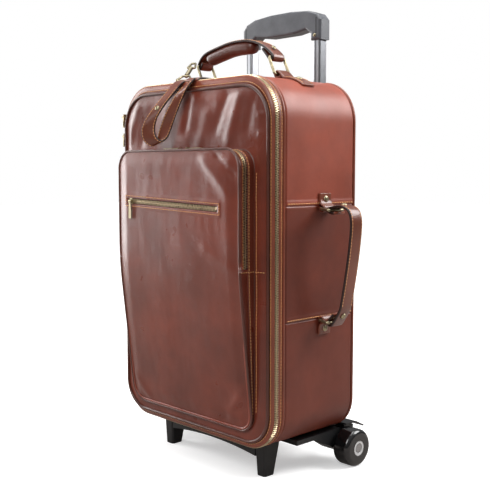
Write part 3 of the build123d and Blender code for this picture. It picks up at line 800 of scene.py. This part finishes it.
def sheet(shape, surface, thick, columns=80, rows=90, extra=(), shear=None):
    """A panel that fills a rounded outline. surface(x, z, edge) is its outer y; edge is the
    distance to the outline. thick is along y, to the inside."""
    low, high = shape[1:3]
    heights = row_heights(*shape[1:], rows, extra)
    outer, inner = [], []
    for z in heights:
        wide = half_width_at(z, *shape)
        for k in range(columns + 1):
            u = 2 * k / columns - 1
            x = wide * (u * 1.35 - 0.35 * u**3)
            real_z = z + (shear(x, z) if shear else 0)
            edge = min(wide - abs(x), z - low, high - z)
            y = surface(x, real_z, edge)
            outer.append(Vector((x, y, real_z)))
            inner.append(Vector((x, y + thick, real_z)))
    count, width = len(heights), columns + 1
    faces = grid_faces(count, width)
    base = len(outer)
    faces += [tuple(base + i for i in reversed(face)) for face in grid_faces(count, width)]
    rim = list(range(width)) + [i * width + columns for i in range(1, count)]
    rim += [(count - 1) * width + k for k in range(columns - 1, -1, -1)]
    rim += [i * width for i in range(count - 2, 0, -1)]
    for here, there in zip(rim, rim[1:] + rim[:1]):
        faces.append((here, there, base + there, base + here))
    return outer + inner, faces


PANEL_INSET = 2.4  # how far inside its welt a face's leather ends


def back_panel():

    def surface(x, z, edge):
        return BACK - 0.6 + 0.9 * smooth(edge / 14) + 0.5 * rumple(x, 0, z, 60, 2.0) * smooth(edge / 20)

    panel = sheet(drawn_in(CASE_SHAPE, PANEL_INSET), surface, -2.2)
    link_piece("leather_back", *panel, "case_body", [BACK_LEATHER], "leather_side", ("back_panel",))
    points, outs = case_path()
    line = [p - o * 8 + Vector((0, BACK + 0.35, 0)) for p, o in zip(points, outs)]
    row = (line, [BACKWARD] * len(line), True)
    sew("back_stitches", [row], "case_body")


def trolley_cover():
    """The stitched leather cover over the telescopic handle's sleeves."""
    low, high = case_box("trolley_cover")
    half, back, front, corner = high.x, high.y, BACK + 0.2, 12.0
    path = [Vector((-half, front, 0)), Vector((-half, front + 8, 0)), Vector((-half, back - corner, 0))]
    outs = [Vector((-1, 0, 0))] * 3
    for start, cx in ((pi, -half + corner), (pi / 2, half - corner)):
        for k in range(1, 9):
            angle = start - pi / 2 * k / 8
            out = Vector((cos(angle), sin(angle), 0))
            path.append(Vector((cx, back - corner, 0)) + out * corner)
            outs.append(out)
        if cx < 0:
            for k in range(1, 24):
                path.append(Vector((cx + (2 * half - 2 * corner) * k / 24, back, 0)))
                outs.append(BACKWARD)
    path += [Vector((half, front + 8, 0)), Vector((half, front, 0))]
    outs += [RIGHTWARD] * 2
    outer = []
    for z in between(low.z, high.z, 90):
        end = min(z - low.z, high.z - z)
        outer.append((-1.2 * (1 - smooth(end / 5)) ** 2, z))
    profile = outer + [(-2.8, high.z), (-2.8, low.z)]
    points = []
    for point, out in zip(path, outs):
        for a, z in profile:
            soft = 0.5 * rumple(point.x, point.y, z, 45, 6.0) * smooth((point.y - front) / 20)
            points.append(point + out * (a + soft) + UPWARD * z)
    faces = grid_faces(len(path), len(profile), False, True)
    faces += [tuple(range(len(profile))), tuple(range(len(points) - len(profile), len(points)))]
    link_piece(
        "handle_cover", points, faces, "case_body", [BACK_LEATHER], "leather_side", ("trolley_cover",)
    )
    rows = []
    for x in (-half + corner + 4, half - corner - 4):
        line = [Vector((x, back + 0.1, z)) for z in between(low.z + 8, high.z - 8, 60)]
        rows.append((line, [BACKWARD] * len(line), False))
    sew("cover_stitches", rows, "case_body")


# ---- lid ------------------------------------------------------------------------------------
def fold(x, z, start, end, width, height):
    """A soft ridge (or with a negative height a valley) along a line on the front."""
    along = Vector((end[0] - start[0], end[1] - start[1]))
    to = Vector((x - start[0], z - start[1]))
    t = to.dot(along) / along.length_squared
    away = (to - along * t).length
    ends = smooth((t + 0.15) / 0.3) * smooth((1.15 - t) / 0.3)
    return height * exp(-((away / width) ** 2)) * ends


LID_FOLDS = (  # start, end, width, height of each soft fold over the pocket
    ((-150, 470), (-122, 535), 8, 1.2),
    ((-118, 466), (-100, 515), 8, -1.0),
    ((-12, 490), (2, 545), 7, -1.9),
    ((16, 464), (40, 520), 11, 1.5),
    ((52, 486), (84, 550), 8, -1.8),
    ((78, 464), (110, 552), 9, 1.7),
    ((118, 486), (134, 540), 8, -1.2),
    ((138, 531), (160, 536), 3.5, 1.2),
    ((140, 508), (161, 510), 3.5, 1.2),
    ((140, 484), (161, 484), 3.5, 1.0),
)


def lid_surface(x, z, edge):
    """The lid's face: crowned, with folds round the top where it is pulled by the pocket."""
    high = smooth((z - POCKET_HIGH + 10) / 25)
    bulge = 2.4 * smooth(edge / 18) + 1.4 * rumple(x, 0, z, 70, 1.0) * smooth(edge / 22)
    folds = sum(fold(x, z, *one) for one in LID_FOLDS)
    folds += 1.0 * rumple(x * 0.5, 0, z, 19, 5.0)
    return LID_Y + 1.0 - bulge - folds * high * smooth(edge / 14)


def lid():
    """The bevelled band, the corded edge and the soft face."""
    front, start = case_box("lid_band")[0].y, ZIP_Y - ZIP_HALF_WIDTH
    (outer, outs), inner = case_path(), lid_path()[0]
    steps = 6
    rings = []
    for k in range(steps + 1):
        t = k / steps
        crown = 0.8 * sin(pi * t)
        y = start + (front - start) * t - crown
        rings.append([
            a.lerp(b, t) + o * (crown * 0.4) + BACKWARD * y for a, b, o in zip(outer, inner, outs)
        ])
    rings.append([p + Vector((0, front + 2.0, 0)) for p in lid_path(1.0)[0]])
    rings.append([p + Vector((0, start, 0)) for p in case_path(2.6)[0]])
    points = [p for ring in rings for p in ring]
    faces = grid_faces(len(rings), len(rings[0]), True, True)
    link_piece("lid_edge_band", points, faces, "lid", [BAND_LEATHER], "leather_trim", ("lid_band",))
    cord("lid_welt", lid_path(), -1.5, LID_Y + 0.4, 2.2, "lid", ("lid_piping",))
    extra = [POCKET_HIGH + 4 + 2.5 * k for k in range(30)]
    face = sheet(drawn_in(LID_SHAPE, PANEL_INSET), lid_surface, 2.0, 110, 70, extra)
    link_piece("lid_leather", *face, "lid", [FRONT_LEATHER], "leather_front", ("lid_face",))
    share = 0.72
    y = start + (front - start) * share - 1.0
    line = [a.lerp(b, share) + BACKWARD * y for a, b in zip(outer, inner)]
    normals = [(o * 0.25 + FORWARD).normalized() for o in outs]
    sew("lid_band_stitches", [(line, normals, True)], "lid")


# ---- pocket ---------------------------------------------------------------------------------
GUSSET_INSET = 2.0


def gusset_profile(front, back, flare=0.0):
    """The pocket's side wall between two depths: slightly puffed, 2.4 mm thick."""
    steps = 8
    outer = []
    for k in range(steps + 1):
        t = k / steps
        y = back + (front - back) * t
        outer.append((-GUSSET_INSET + 1.0 * sin(pi * t) + flare * (1 - smooth(t * 4)), y))
    return outer + [(-GUSSET_INSET - 2.4, front), (-GUSSET_INSET - 2.4 + flare, back)]


def pocket_slope(z):
    """How far the pocket's face lies back at a height below the flap's zip."""
    bend, start = 14.0, POCKET_SPLIT - 8  # the slope sets in softly over the bend's length
    return POCKET_TAPER * bend * log(1 + exp((start - z) / bend))


def leaned(points):
    """Squeeze the depth of everything between the lid and the pocket's sloping face."""
    back = LID_Y - 1.0
    moved = []
    for p in points:
        share = max(0.0, (back - p.y) / (back - POCKET_Y))
        moved.append(Vector((p.x, p.y + share * pocket_slope(p.z), p.z)))
    return moved


def leaned_row(row):
    return leaned(row[0]), row[1], row[2]


def puffed(shape, amount, scale, seed):
    """Push a gusset's points in and out a little, as soft leather."""
    points, faces = shape
    moved = []
    for p in points:
        away = Vector((p.x, 0, p.z - 270)).normalized()
        fade = smooth((p.y - POCKET_Y - 3) / 6) * smooth((LID_Y - 1 - p.y) / 6)
        moved.append(p + away * rumple(p.x, p.y * 2, p.z, scale, seed) * amount * fade)
    return moved, faces


def pocket_seam_rows():
    """Stitches across the pocket's wall under its zip and on the lid beside the pocket."""
    rows = []

    def add(line, normal):
        rows.append((line, [normal] * len(line), False))

    def on_lid(x, z):
        return Vector((x, lid_surface(x, z, LID_HALF - abs(x)) - 0.25, z))

    z = POCKET_SPLIT - 4
    for side in (-1, 1):
        wall_x = side * (POCKET_HALF - GUSSET_INSET + 1.1)
        add([Vector((wall_x, y, z)) for y in between(POCKET_Y + 5, LID_Y - 2, 12)], RIGHTWARD * side)
        add([on_lid(side * x, z) for x in between(POCKET_HALF + 1, LID_HALF - 6, 24)], FORWARD)
        heights = between(POCKET_LOW + 30, POCKET_HIGH - 30, 79)
        add([on_lid(side * (POCKET_HALF + 4), height) for height in heights], FORWARD)
    return rows


def pocket():
    """Gussets, zip halves, cords and the face of the front pocket."""
    lid_y, face_y = LID_Y + 0.8, POCKET_Y + 2.4
    zip_front, zip_back = case_box("pocket_zip_flap_half")[0].y, case_box("pocket_zip_lid_half")[1].y
    split = POCKET_SPLIT
    path = outline(*POCKET_SHAPE)
    upper, lower = cut_path(path, split + 0.5, 1), cut_path(path, split, -1)
    back_part = puffed(standing(path, gusset_profile(zip_back, lid_y, 2.2)), 0.8, 24, 3.0)
    front_low = puffed(standing(lower, gusset_profile(face_y, zip_back - 0.05), False), 1.0, 20, 8.0)
    wall_points, wall_faces = join([back_part, front_low])
    link_piece(
        "pocket_wall", leaned(wall_points), wall_faces, "lid", [FRONT_LEATHER], "leather_front",
        ("pocket_gusset_back",),
    )
    front_points, front_faces = standing(upper, gusset_profile(face_y, zip_front), False)
    link_piece(
        "flap_wall", leaned(front_points), front_faces, "pocket_flap", [FRONT_LEATHER], "leather_front",
        ("pocket_gusset_front",),
    )
    for name, way, body, node in (
        ("lid_half", 1, "lid", "pocket_zip_lid_half"),
        ("flap_half", -1, "pocket_flap", "pocket_zip_flap_half"),
    ):
        inner, outer = POCKET_ZIP_Y + way * 0.25, POCKET_ZIP_Y + way * 3.5
        profile = [(-GUSSET_INSET - 0.9, inner), (-GUSSET_INSET - 0.4, outer)]
        profile += [(-GUSSET_INSET - 1.6, outer), (-GUSSET_INSET - 1.9, inner)]
        tape_points, tape_faces = standing(upper, profile, False)
        zip_tape(f"pocket_tape_{name}", (leaned(tape_points), tape_faces), body, node)
        line = [p - o * (GUSSET_INSET + 0.2) + BACKWARD * POCKET_ZIP_Y for p, o in zip(*upper)]
        zip_teeth(f"pocket_teeth_{name}", teeth(leaned(line), upper[1], BACKWARD, -way), body)
    cord_y = face_y - 0.4
    cord("flap_cord", upper, 0.0, cord_y, 1.8, "pocket_flap", ("pocket_piping",), closed=False, lean=True)
    cord("pocket_cord", lower, 0.0, cord_y, 1.8, "lid", closed=False, lean=True)
    cord("wall_cord", path, -0.6, lid_y - 1.2, 1.6, "lid")
    rows = [on_path(path, -GUSSET_INSET + 1.0, zip_back + 2.2)]
    rows = [leaned_row(row) for row in rows] + pocket_seam_rows()
    sew("pocket_wall_stitches", rows, "lid")
    line, normals, _ = on_path(upper, -GUSSET_INSET + 0.9, zip_front - 2.0)
    sew("flap_wall_stitches", [(leaned(line), normals, False)], "pocket_flap")
    pocket_face()


def small_zip_height(x):
    return SMALL_ZIP_Z - (x - SMALL_ZIP_LEFT) * sin(SMALL_ZIP_TILT)


def pocket_surface(x, z, edge):
    """The pocket's face: crowned and sagging, with a sunk slot where the small zip lies."""
    crown = 2.6 * smooth(edge / 22) + 1.3 * exp(-(((z - 130) / 60) ** 2)) * smooth(edge / 30)
    soft = 1.6 * rumple(x, 0, z, 85, 7.0) * smooth(edge / 25)
    folds = fold(x, z, (60, 455), (120, 400), 8, 1.8) + fold(x, z, (85, 458), (128, 425), 5, -1.6)
    folds += fold(x, z, (-125, 120), (-90, 85), 7, 1.6) + fold(x, z, (90, 90), (128, 140), 8, 1.8)
    folds += fold(x, z, (70, 84), (124, 116), 6, -1.4) + fold(x, z, (60, 330), (128, 300), 9, 1.2)
    y = POCKET_Y + 1.6 - crown - soft - folds * smooth(edge / 10) + pocket_slope(z)
    away = abs(z - small_zip_height(x))
    inside_x = smooth((x - SMALL_ZIP_LEFT + 1) / 1.5) * smooth((SMALL_ZIP_RIGHT + 1 - x) / 1.5)
    border_x = smooth((x - SMALL_ZIP_LEFT + 8) / 3) * smooth((SMALL_ZIP_RIGHT + 8 - x) / 3)
    y -= 0.5 * border_x * (1 - smooth((away - 10) / 2.5))
    return y + 2.6 * inside_x * (1 - smooth((away - 3.6) / 1.2))


def pocket_face():
    """One sheet that folds at the pocket's split, and the small zip with its stitched border."""
    shape = drawn_in(POCKET_SHAPE, 1.4)
    middle = small_zip_height((SMALL_ZIP_LEFT + SMALL_ZIP_RIGHT) / 2)
    steps_up = (2.4, 3.4, 4, 4.6, 5.2, 6, 8, 9.5, 11, 12.5, 14)  # rows close to the small zip's slot
    gaps = [-gap for gap in steps_up[::-1]] + [0, *steps_up]

    def shear(x, z):
        return (small_zip_height(x) - middle) * exp(-(((z - middle) / 45) ** 2))

    points, faces = sheet(shape, pocket_surface, 2.0, 120, 110, [middle + gap for gap in gaps], shear)
    face = link_piece(
        "pocket_leather", points, faces, None, [FRONT_LEATHER], "leather_front",
        ("pocket_face_upper", "pocket_face_lower"),
    )
    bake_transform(face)
    xs = between(SMALL_ZIP_LEFT, SMALL_ZIP_RIGHT, 70)
    line = [Vector((x, pocket_surface(x, small_zip_height(x), 60) - 0.5, small_zip_height(x))) for x in xs]
    outs = [FORWARD] * len(line)
    section = [(0.2, -4.6), (0.5, -1), (0.5, 1), (0.2, 4.6), (-0.4, 4.6), (-0.4, -4.6)]
    tape = sweep(line, outs, [UPWARD] * len(line), section)
    zip_tape("small_zip_tape", tape, "pocket_flap", "small_pocket_zip")
    raised = [p + FORWARD * 0.2 for p in line]
    both_sides = join([teeth(raised, outs, UPWARD, way) for way in (1, -1)])
    zip_teeth("small_zip_teeth", both_sides, "pocket_flap")
    left, right, rise = SMALL_ZIP_LEFT - 5, SMALL_ZIP_RIGHT + 5, 7.6
    corners = [(left, rise), (right, rise), (right, -rise), (left, -rise)]
    border = []
    for (x0, dz0), (x1, dz1) in zip(corners, corners[1:] + corners[:1]):
        for k in range(60):
            x, dz = x0 + (x1 - x0) * k / 60, dz0 + (dz1 - dz0) * k / 60
            z = small_zip_height(x) + dz
            border.append(Vector((x, pocket_surface(x, z, 60) - 0.2, z)))
    row = (border, [FORWARD] * len(border), True)
    sew("small_zip_stitches", [row], "pocket_flap", *FINE_STITCH)


# ---- handles --------------------------------------------------------------------------------
STRAP_WIDTH, STRAP_THICK = 24.0, 3.6
STITCH_INSET = 2.6  # from a strap's edge
BIG_RIVET, SMALL_RIVET = (4.6, 2.4), (3.6, 2.0)  # radius and height
RING_WIRE = 2.1


def folded_end(bar, inward, up, length):
    """Centre points of a strap's end: in under the strap, round the ring's bar and back over."""
    reach = RING_WIRE + STRAP_THICK / 2 + 0.1
    return [
        bar + inward * length - up * 2.6,
        bar + inward * (length * 0.5) - up * 3.2,
        bar + inward * 2 - up * reach,
        bar - inward * (reach * 0.7) - up * (reach * 0.7),
        bar - inward * reach,
        bar - inward * (reach * 0.7) + up * (reach * 0.7),
        bar + inward * 2 + up * reach,
    ]


def flat_strap(name, points, body, replaces, side=(0, 1, 0), width=STRAP_WIDTH):
    """A strap along a line, with painted edges; its callers sew a row of stitches near each edge."""
    path = curve_through(points, 8)
    sides = [Vector(side)] * len(path)
    ups = across_path(path, sides)
    shape = sweep(path, ups, sides, ribbon_profile(width, STRAP_THICK))
    link_piece(name, *shape, body, STRAP_MATERIALS, "leather_trim", replaces, ribbon_pick)
    return path, ups


def strap_rows(path, ups, sides, first, last, lift, inset=STITCH_INSET, width=STRAP_WIDTH):
    """Two rows of stitches along a strap, on its upper face or, with a negative lift, its lower one."""
    rows = []
    for way in (-1, 1):
        line = [p + u * lift + s * way * (width / 2 - inset) for p, u, s in zip(path, ups, sides)]
        rows.append((line[first:last], [u * (1 if lift > 0 else -1) for u in ups[first:last]], False))
    return rows


def rivets(name, heads, body, replaces=()):
    link_piece(name, *join(heads), body, [AGED_BRASS], "brass", replaces)


def carry_handle():
    """The arched strap on its two rings, the padded roll below it, and its rivets."""
    left_box, right_box = case_box("carry_ring_left"), case_box("carry_ring_right")
    y = middle_y("carry_ring_left", "carry_ring_left")
    left = Vector((left_box[0].x + RING_WIRE, y, left_box[1].z - RING_WIRE))
    right = Vector((right_box[0].x + RING_WIRE, y, right_box[1].z - RING_WIRE))
    in_left, in_right = Vector((0.55, 0, 0.83)), Vector((-0.72, 0, 0.69))
    up_left, up_right = Vector((-0.83, 0, 0.55)), Vector((0.69, 0, 0.72))
    middle = [
        left + Vector((5, 0, 12.5)),
        left + Vector((18, 0, 19)),
        left + Vector((47, 0, 25)),
        left + Vector((66, 0, 28)),
        right + Vector((-69, 0, 29)),
        right + Vector((-47, 0, 27.5)),
        right + Vector((-25, 0, 21.3)),
        right + Vector((-9, 0, 12.5)),
    ]
    points = folded_end(left, in_left, up_left, 16)[1:] + middle
    points += folded_end(right, in_right, up_right, 22)[::-1]
    path, ups = flat_strap("carry_handle_strap", points, "carry_handle", ("carry_strap",))
    ups = [-u for u in ups] if ups[len(ups) // 2].z < 0 else ups
    sides = [BACKWARD] * len(path)
    rows = strap_rows(path, ups, sides, 56, len(path) - 62, STRAP_THICK / 2 + 0.05)
    sew("carry_handle_stitches", rows, "carry_handle")
    first = next(i for i, p in enumerate(path) if p.x > left.x + 8 and i > 45)
    last = max(i for i, p in enumerate(path) if p.x < right.x - 34 and i < len(path) - 40)
    roll_path = [p - u * 1.9 for p, u in zip(path[first:last], ups[first:last])]

    def roll_profile(t):
        full = (1 - abs(2 * t - 1) ** 9) ** 0.5
        size = 0.35 + 0.65 * full
        wide, deep = 11.2 * size, 10.6 * size
        turns = [2 * pi * k / 28 for k in range(28)]
        return [(min(0.1, -6.6 - deep * sin(turn)), -wide * cos(turn)) for turn in turns]

    roll = sweep(roll_path, ups[first:last], [BACKWARD] * len(roll_path), roll_profile)
    link_piece("carry_handle_roll", *roll, "carry_handle", [ROLL_LEATHER], "leather_front", ("carry_roll",))
    heads = [
        dome(right + in_right * 14 + up_right * 7.1, up_right, *SMALL_RIVET),
        dome(left + in_left * 13 + up_left * 8.2, up_left, *SMALL_RIVET),
    ]
    rivets("carry_handle_rivets", heads, "carry_handle")


def top_place(x, lift):
    """A point lift mm above the case's top, and the outward direction there."""
    flat = HALF - CORNER_TOP
    if abs(x) <= flat:
        return Vector((x, 0, TOP + lift)), UPWARD
    over = abs(x) - flat
    rise = sqrt(CORNER_TOP**2 - over**2)
    out = Vector((over / CORNER_TOP * (1 if x > 0 else -1), 0, rise / CORNER_TOP))
    base = Vector((flat * (1 if x > 0 else -1), 0, TOP - CORNER_TOP))
    return base + out * (CORNER_TOP + lift), out


def carry_anchors():
    """Tabs on the case's top, each folded round the lower bar of its ring and riveted."""
    shapes, heads, rows = [], [], []
    for node, way in (("carry_ring_left", -1), ("carry_ring_right", 1)):
        box = case_box(node)
        y = middle_y(node, node)
        bar = Vector((box[1].x - RING_WIRE, y, box[0].z + RING_WIRE))
        inward, up = RIGHTWARD * way, UPWARD
        points = folded_end(bar, inward, up, 14)[1:]
        for step in range(1, 8):
            point, out = top_place(bar.x + way * (6 + 6.2 * step), 2.0 + (1.6 if step < 2 else 0))
            points.append(point + BACKWARD * y)
        path = curve_through(points, 8)
        sides = [BACKWARD] * len(path)
        ups = across_path(path, sides)
        shapes.append(sweep(path, ups, sides, ribbon_profile(STRAP_WIDTH, 3.0)))
        spot, out = top_place(bar.x + way * 32, 3.5)
        heads.append(dome(spot + BACKWARD * y, out, *BIG_RIVET))
        sign = 1 if ups[-1].z > 0 else -1
        rows += strap_rows(path, [u * sign for u in ups], sides, 52, len(path) - 2, 1.75)
    link_piece("top_anchor_tabs", *join(shapes), "case_body", STRAP_MATERIALS, "leather_trim",
               ("carry_anchors",))
    sew("top_anchor_stitches", rows, "case_body")
    return heads


def side_anchors():
    """Tabs on the right panel, each folded round the inner bar of its ring and riveted."""
    shapes, heads = [], []
    for node, way in (("side_ring_lower", -1), ("side_ring_upper", 1)):
        box = case_box(node)
        y = middle_y(node, node)
        bar = Vector((box[0].x + RING_WIRE, y, box[1].z - RING_WIRE))
        inward, up = Vector((0, 0, way)), RIGHTWARD
        points = folded_end(bar, inward, up, 12)[2:]
        points += [
            Vector((HALF + 4.6, y, bar.z + way * 6)),
            Vector((HALF + 2.4, y, bar.z + way * 11)),
            Vector((HALF + 2.2, y, bar.z + way * 16)),
            Vector((HALF + 2.0, y, bar.z + way * 21)),
        ]
        path = curve_through(points, 8)
        sides = [BACKWARD] * len(path)
        shape = sweep(path, across_path(path, sides), sides, ribbon_profile(STRAP_WIDTH, 2.6))
        shapes.append(shape)
        heads.append(dome(Vector((HALF + 3.6, y, bar.z + way * 13)), (1, 0, 0), *BIG_RIVET))
    link_piece("side_anchor_tabs", *join(shapes), "case_body", STRAP_MATERIALS, "leather_trim",
               ("side_anchors",))
    return heads


def side_handle():
    """The strap that stands off the right panel between two rings."""
    low_box, high_box = case_box("side_ring_lower"), case_box("side_ring_upper")
    y = middle_y("side_ring_lower", "side_ring_lower")
    low = Vector((low_box[1].x - RING_WIRE, y, low_box[0].z + RING_WIRE))
    high = Vector((high_box[1].x - RING_WIRE, y, high_box[0].z + RING_WIRE))
    out = RIGHTWARD
    start = folded_end(high, out, UPWARD, 12)
    end = folded_end(low, Vector((0.6, 0, 0.8)), Vector((0.8, 0, -0.6)), 14)
    middle = [
        high + Vector((13, 0, 5.8)),
        high + Vector((26, 0, 3.5)),
        high + Vector((33, 0, -4)),
        high + Vector((35.5, 0, -20)),
        high + Vector((32.5, 0, -52)),
        high + Vector((27, 0, -88)),
        high + Vector((21, 0, -120)),
        high + Vector((16.5, 0, -137)),
    ]
    points = start[1:] + middle + end[::-1]
    path, ups = flat_strap("side_handle_strap", points, "side_handle", ("side_strap",))
    flip = -1 if ups[len(ups) // 2].x < 0 else 1
    ups = [u * flip for u in ups]
    sides = [BACKWARD] * len(path)
    rows = strap_rows(path, ups, sides, 54, len(path) - 60, STRAP_THICK / 2 + 0.05)
    sew("side_handle_stitches", rows, "side_handle")
    heads = [
        dome(high + Vector((14, 0, 7.6)), (0.1, 0, 1), *BIG_RIVET),
        dome(low + Vector((14.5, 0, 9.5)), (0.85, 0, -0.5), *BIG_RIVET),
    ]
    rivets("side_handle_rivets", heads, "side_handle")


def bag_strap():
    """The soft strap on the snap hook: it hangs in a loop before the lid and goes back over its edge."""
    leg = [
        (-30, -72, 566), (-31, -82, 562), (-34, -92, 550), (-46, -108, 525), (-54, -116, 507),
        (-57, -117.5, 492), (-54, -115, 480), (-47, -109, 475), (-41, -104, 482), (-35, -101, 500),
        (-25, -99.5, 519), (-11, -96.5, 541), (-4, -91.5, 553), (-1, -82, 563),
    ]
    path = curve_through(leg, 8)
    sides = []
    for i in range(len(path)):
        t = i / (len(path) - 1)
        turn = radians(38) * exp(-(((t - 0.33) / 0.17) ** 2)) - radians(6)
        turn += radians(34) * exp(-(((t - 0.72) / 0.15) ** 2))
        sides.append(Vector((cos(turn), sin(turn), 0.42 * smooth(t * 4) - 0.1)).normalized())
    ups = across_path(path, sides)
    width = 23.0
    shape = sweep(path, ups, sides, ribbon_profile(width, 2.6))
    piece = link_piece("bag_strap_leather", *shape, None, STRAP_MATERIALS, "leather_trim",
                       ("bag_strap",), ribbon_pick)
    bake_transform(piece)
    rows = strap_rows(path, ups, sides, 14, len(path) - 4, 1.4, 2.3, width)
    rows += strap_rows(path, ups, sides, 14, len(path) - 4, -1.4, 2.3, width)
    thread_piece = sew("bag_strap_stitches", rows, None)
    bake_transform(thread_piece)
    front_up = ups[24] if ups[24].y < 0 else -ups[24]
    head = dome(path[24] + front_up * 1.3, front_up, 3.6, 2.2)
    rivets("bag_strap_rivet", [head], "bag_strap")
    over_top = [(-1, -82, 563.6), (0, -74, 567.2), (-2, -55, 567.4), (-10, -30, 567), (-22, -8, 566.8)]
    back = curve_through(over_top, 8)
    back_sides = [Vector((1, 0.25, 0)).normalized()] * len(back)
    flat = sweep(back, across_path(back, back_sides), back_sides, ribbon_profile(width, 2.6))
    link_piece("bag_strap_top", *flat, "case_body", STRAP_MATERIALS, "leather_trim", pick=ribbon_pick)


# ---- small hardware on the grip -------------------------------------------------------------
def plate(low, high):
    """A small block between two corners."""
    points = [Vector((x, y, z)) for z in (low[2], high[2]) for x, y in (
        (low[0], low[1]), (high[0], low[1]), (high[0], high[1]), (low[0], high[1]))]
    return points, grid_faces(2, 4, False, True) + [(3, 2, 1, 0), (4, 5, 6, 7)]


def grip_details():
    """Screws, and two near-black strips near the ends of the grip that stand for its grooves as painted
    shade.
    """
    low, high = case_box("grip")
    screws, grooves = [], []
    for way in (-1, 1):
        screws.append(dome(Vector((way * (high.x - 11), low.y - 0.1, low.z + 7)), (0, -1, 0), 2.6, 1.0))
        x = way * (high.x - 8)
        # Painted shade: a thin near-black strip laid on the grip where a groove would be dark.
        grooves.append(plate((x - 0.8, low.y - 0.15, low.z + 3), (x + 0.8, low.y + 1.5, high.z - 15)))
    rivets("grip_screws", screws, "trolley_inner")
    groove_shade_strips = join(grooves)
    link_piece("grip_groove_shade", *groove_shade_strips, "trolley_inner", [GROOVE_SHADE], "grip_plastic", flat=True)


# ---- studio ---------------------------------------------------------------------------------
CAMERA_AT = (955.6, -883.7, 434.0)
CAMERA_TURN, CAMERA_DOWN = 46.5, 4.9
LENS, SENSOR = 63.07347, 36.0
FLOOR_GLOW = (0.42, 0.85)
FLOOR_REFLECTED = (0.36, 0.33, 0.31)
SKY_LOW, SKY_HIGH = 0.09, 0.5


def studio_floor():
    """A seamless pale floor: bright to the camera, darker to everything that reflects it."""
    n = Nodes("studio_floor")
    seen = n.make("ShaderNodeLightPath").outputs["Is Camera Ray"]
    glow = n.mix(seen, (0.0, 0.0, 0.0), (1.0, 1.0, 1.0))
    pale = n.mix(seen, FLOOR_REFLECTED, (0.85, 0.85, 0.85))
    far = n.make("ShaderNodeVectorMath", {"operation": "LENGTH"}, Vector=n.coords).outputs["Value"]
    strength = n.span(far, *FLOOR_GLOW, 0.4, 2.2)
    return n.finish(Base_Color=pale, Roughness=0.9, Specular_IOR_Level=0.0, Emission_Color=glow,
                    Emission_Strength=strength)


def studio_world():
    """White behind the object; a dim sky, brighter overhead, in its reflections."""
    world = bpy.data.worlds.new("studio")
    world.use_nodes = True
    tree = world.node_tree
    direction = tree.nodes.new("ShaderNodeTexCoord").outputs["Generated"]
    height = tree.nodes.new("ShaderNodeSeparateXYZ")
    tree.links.new(direction, height.inputs[0])
    ramp = tree.nodes.new("ShaderNodeValToRGB")
    tree.links.new(height.outputs["Z"], ramp.inputs["Fac"])
    ramp.color_ramp.elements[0].position, ramp.color_ramp.elements[1].position = 0.0, 0.8
    ramp.color_ramp.elements[0].color = (SKY_LOW, SKY_LOW, SKY_LOW, 1)
    ramp.color_ramp.elements[1].color = (SKY_HIGH, SKY_HIGH, SKY_HIGH, 1)
    seen = tree.nodes.new("ShaderNodeLightPath").outputs["Is Camera Ray"]
    mix = tree.nodes.new("ShaderNodeMix")
    mix.data_type = "RGBA"
    tree.links.new(seen, mix.inputs[0])
    tree.links.new(ramp.outputs["Color"], mix.inputs[6])
    mix.inputs[7].default_value = (1, 1, 1, 1)
    tree.links.new(mix.outputs[2], tree.nodes["Background"].inputs["Color"])
    bpy.context.scene.world = world


def studio():
    """A pale floor, a pale world, soft area lights and the camera."""
    mesh = bpy.data.meshes.new("floor")
    mesh.from_pydata([(-9, -9, 0), (9, -9, 0), (9, 9, 0), (-9, 9, 0)], [], [(0, 1, 2, 3)])
    mesh.materials.append(studio_floor())
    floor = bpy.data.objects.new("floor", mesh)
    bpy.context.scene.collection.objects.link(floor)
    studio_world()

    def area(name, position, target, size, power, tall=None):
        light = bpy.data.lights.new(name, "AREA")
        light.shape = "RECTANGLE"
        light.size, light.size_y = size, tall or size
        light.energy = power
        lamp = bpy.data.objects.new(name, light)
        lamp.location = position
        lamp.rotation_euler = (Vector(target) - Vector(position)).to_track_quat("-Z", "Y").to_euler()
        bpy.context.scene.collection.objects.link(lamp)

    area("left_box", (-1.85, -0.62, 0.75), (0, 0, 0.3), 0.8, 30, 1.5)
    area("right_box", (1.0, 1.15, 1.45), (0.1, 0, 0.5), 1.1, 38, 1.1)
    area("front", (0.4, -2.2, 1.9), (0, 0, 0.3), 1.2, 34)
    area("top", (-0.1, 0.1, 2.2), (0, 0, 0.3), 1.6, 30)

    camera = bpy.data.cameras.new("camera")
    camera.sensor_width = SENSOR
    camera.lens = LENS
    view = bpy.data.objects.new("camera", camera)
    view.location = place(CAMERA_AT)
    view.rotation_euler = (radians(90 - CAMERA_DOWN), 0, radians(CAMERA_TURN))
    bpy.context.scene.collection.objects.link(view)
    bpy.context.scene.camera = view
    bpy.context.scene.view_settings.view_transform = "Standard"


# ---- build ----------------------------------------------------------------------------------
paint_cad()
leather_wrap()
body_edges()
main_zip()
hinge_strip()
back_panel()
trolley_cover()
lid()
pocket()
carry_handle()
rivets("anchor_rivets", carry_anchors() + side_anchors(), "case_body", ("rivets",))
side_handle()
bag_strap()
grip_details()
studio()
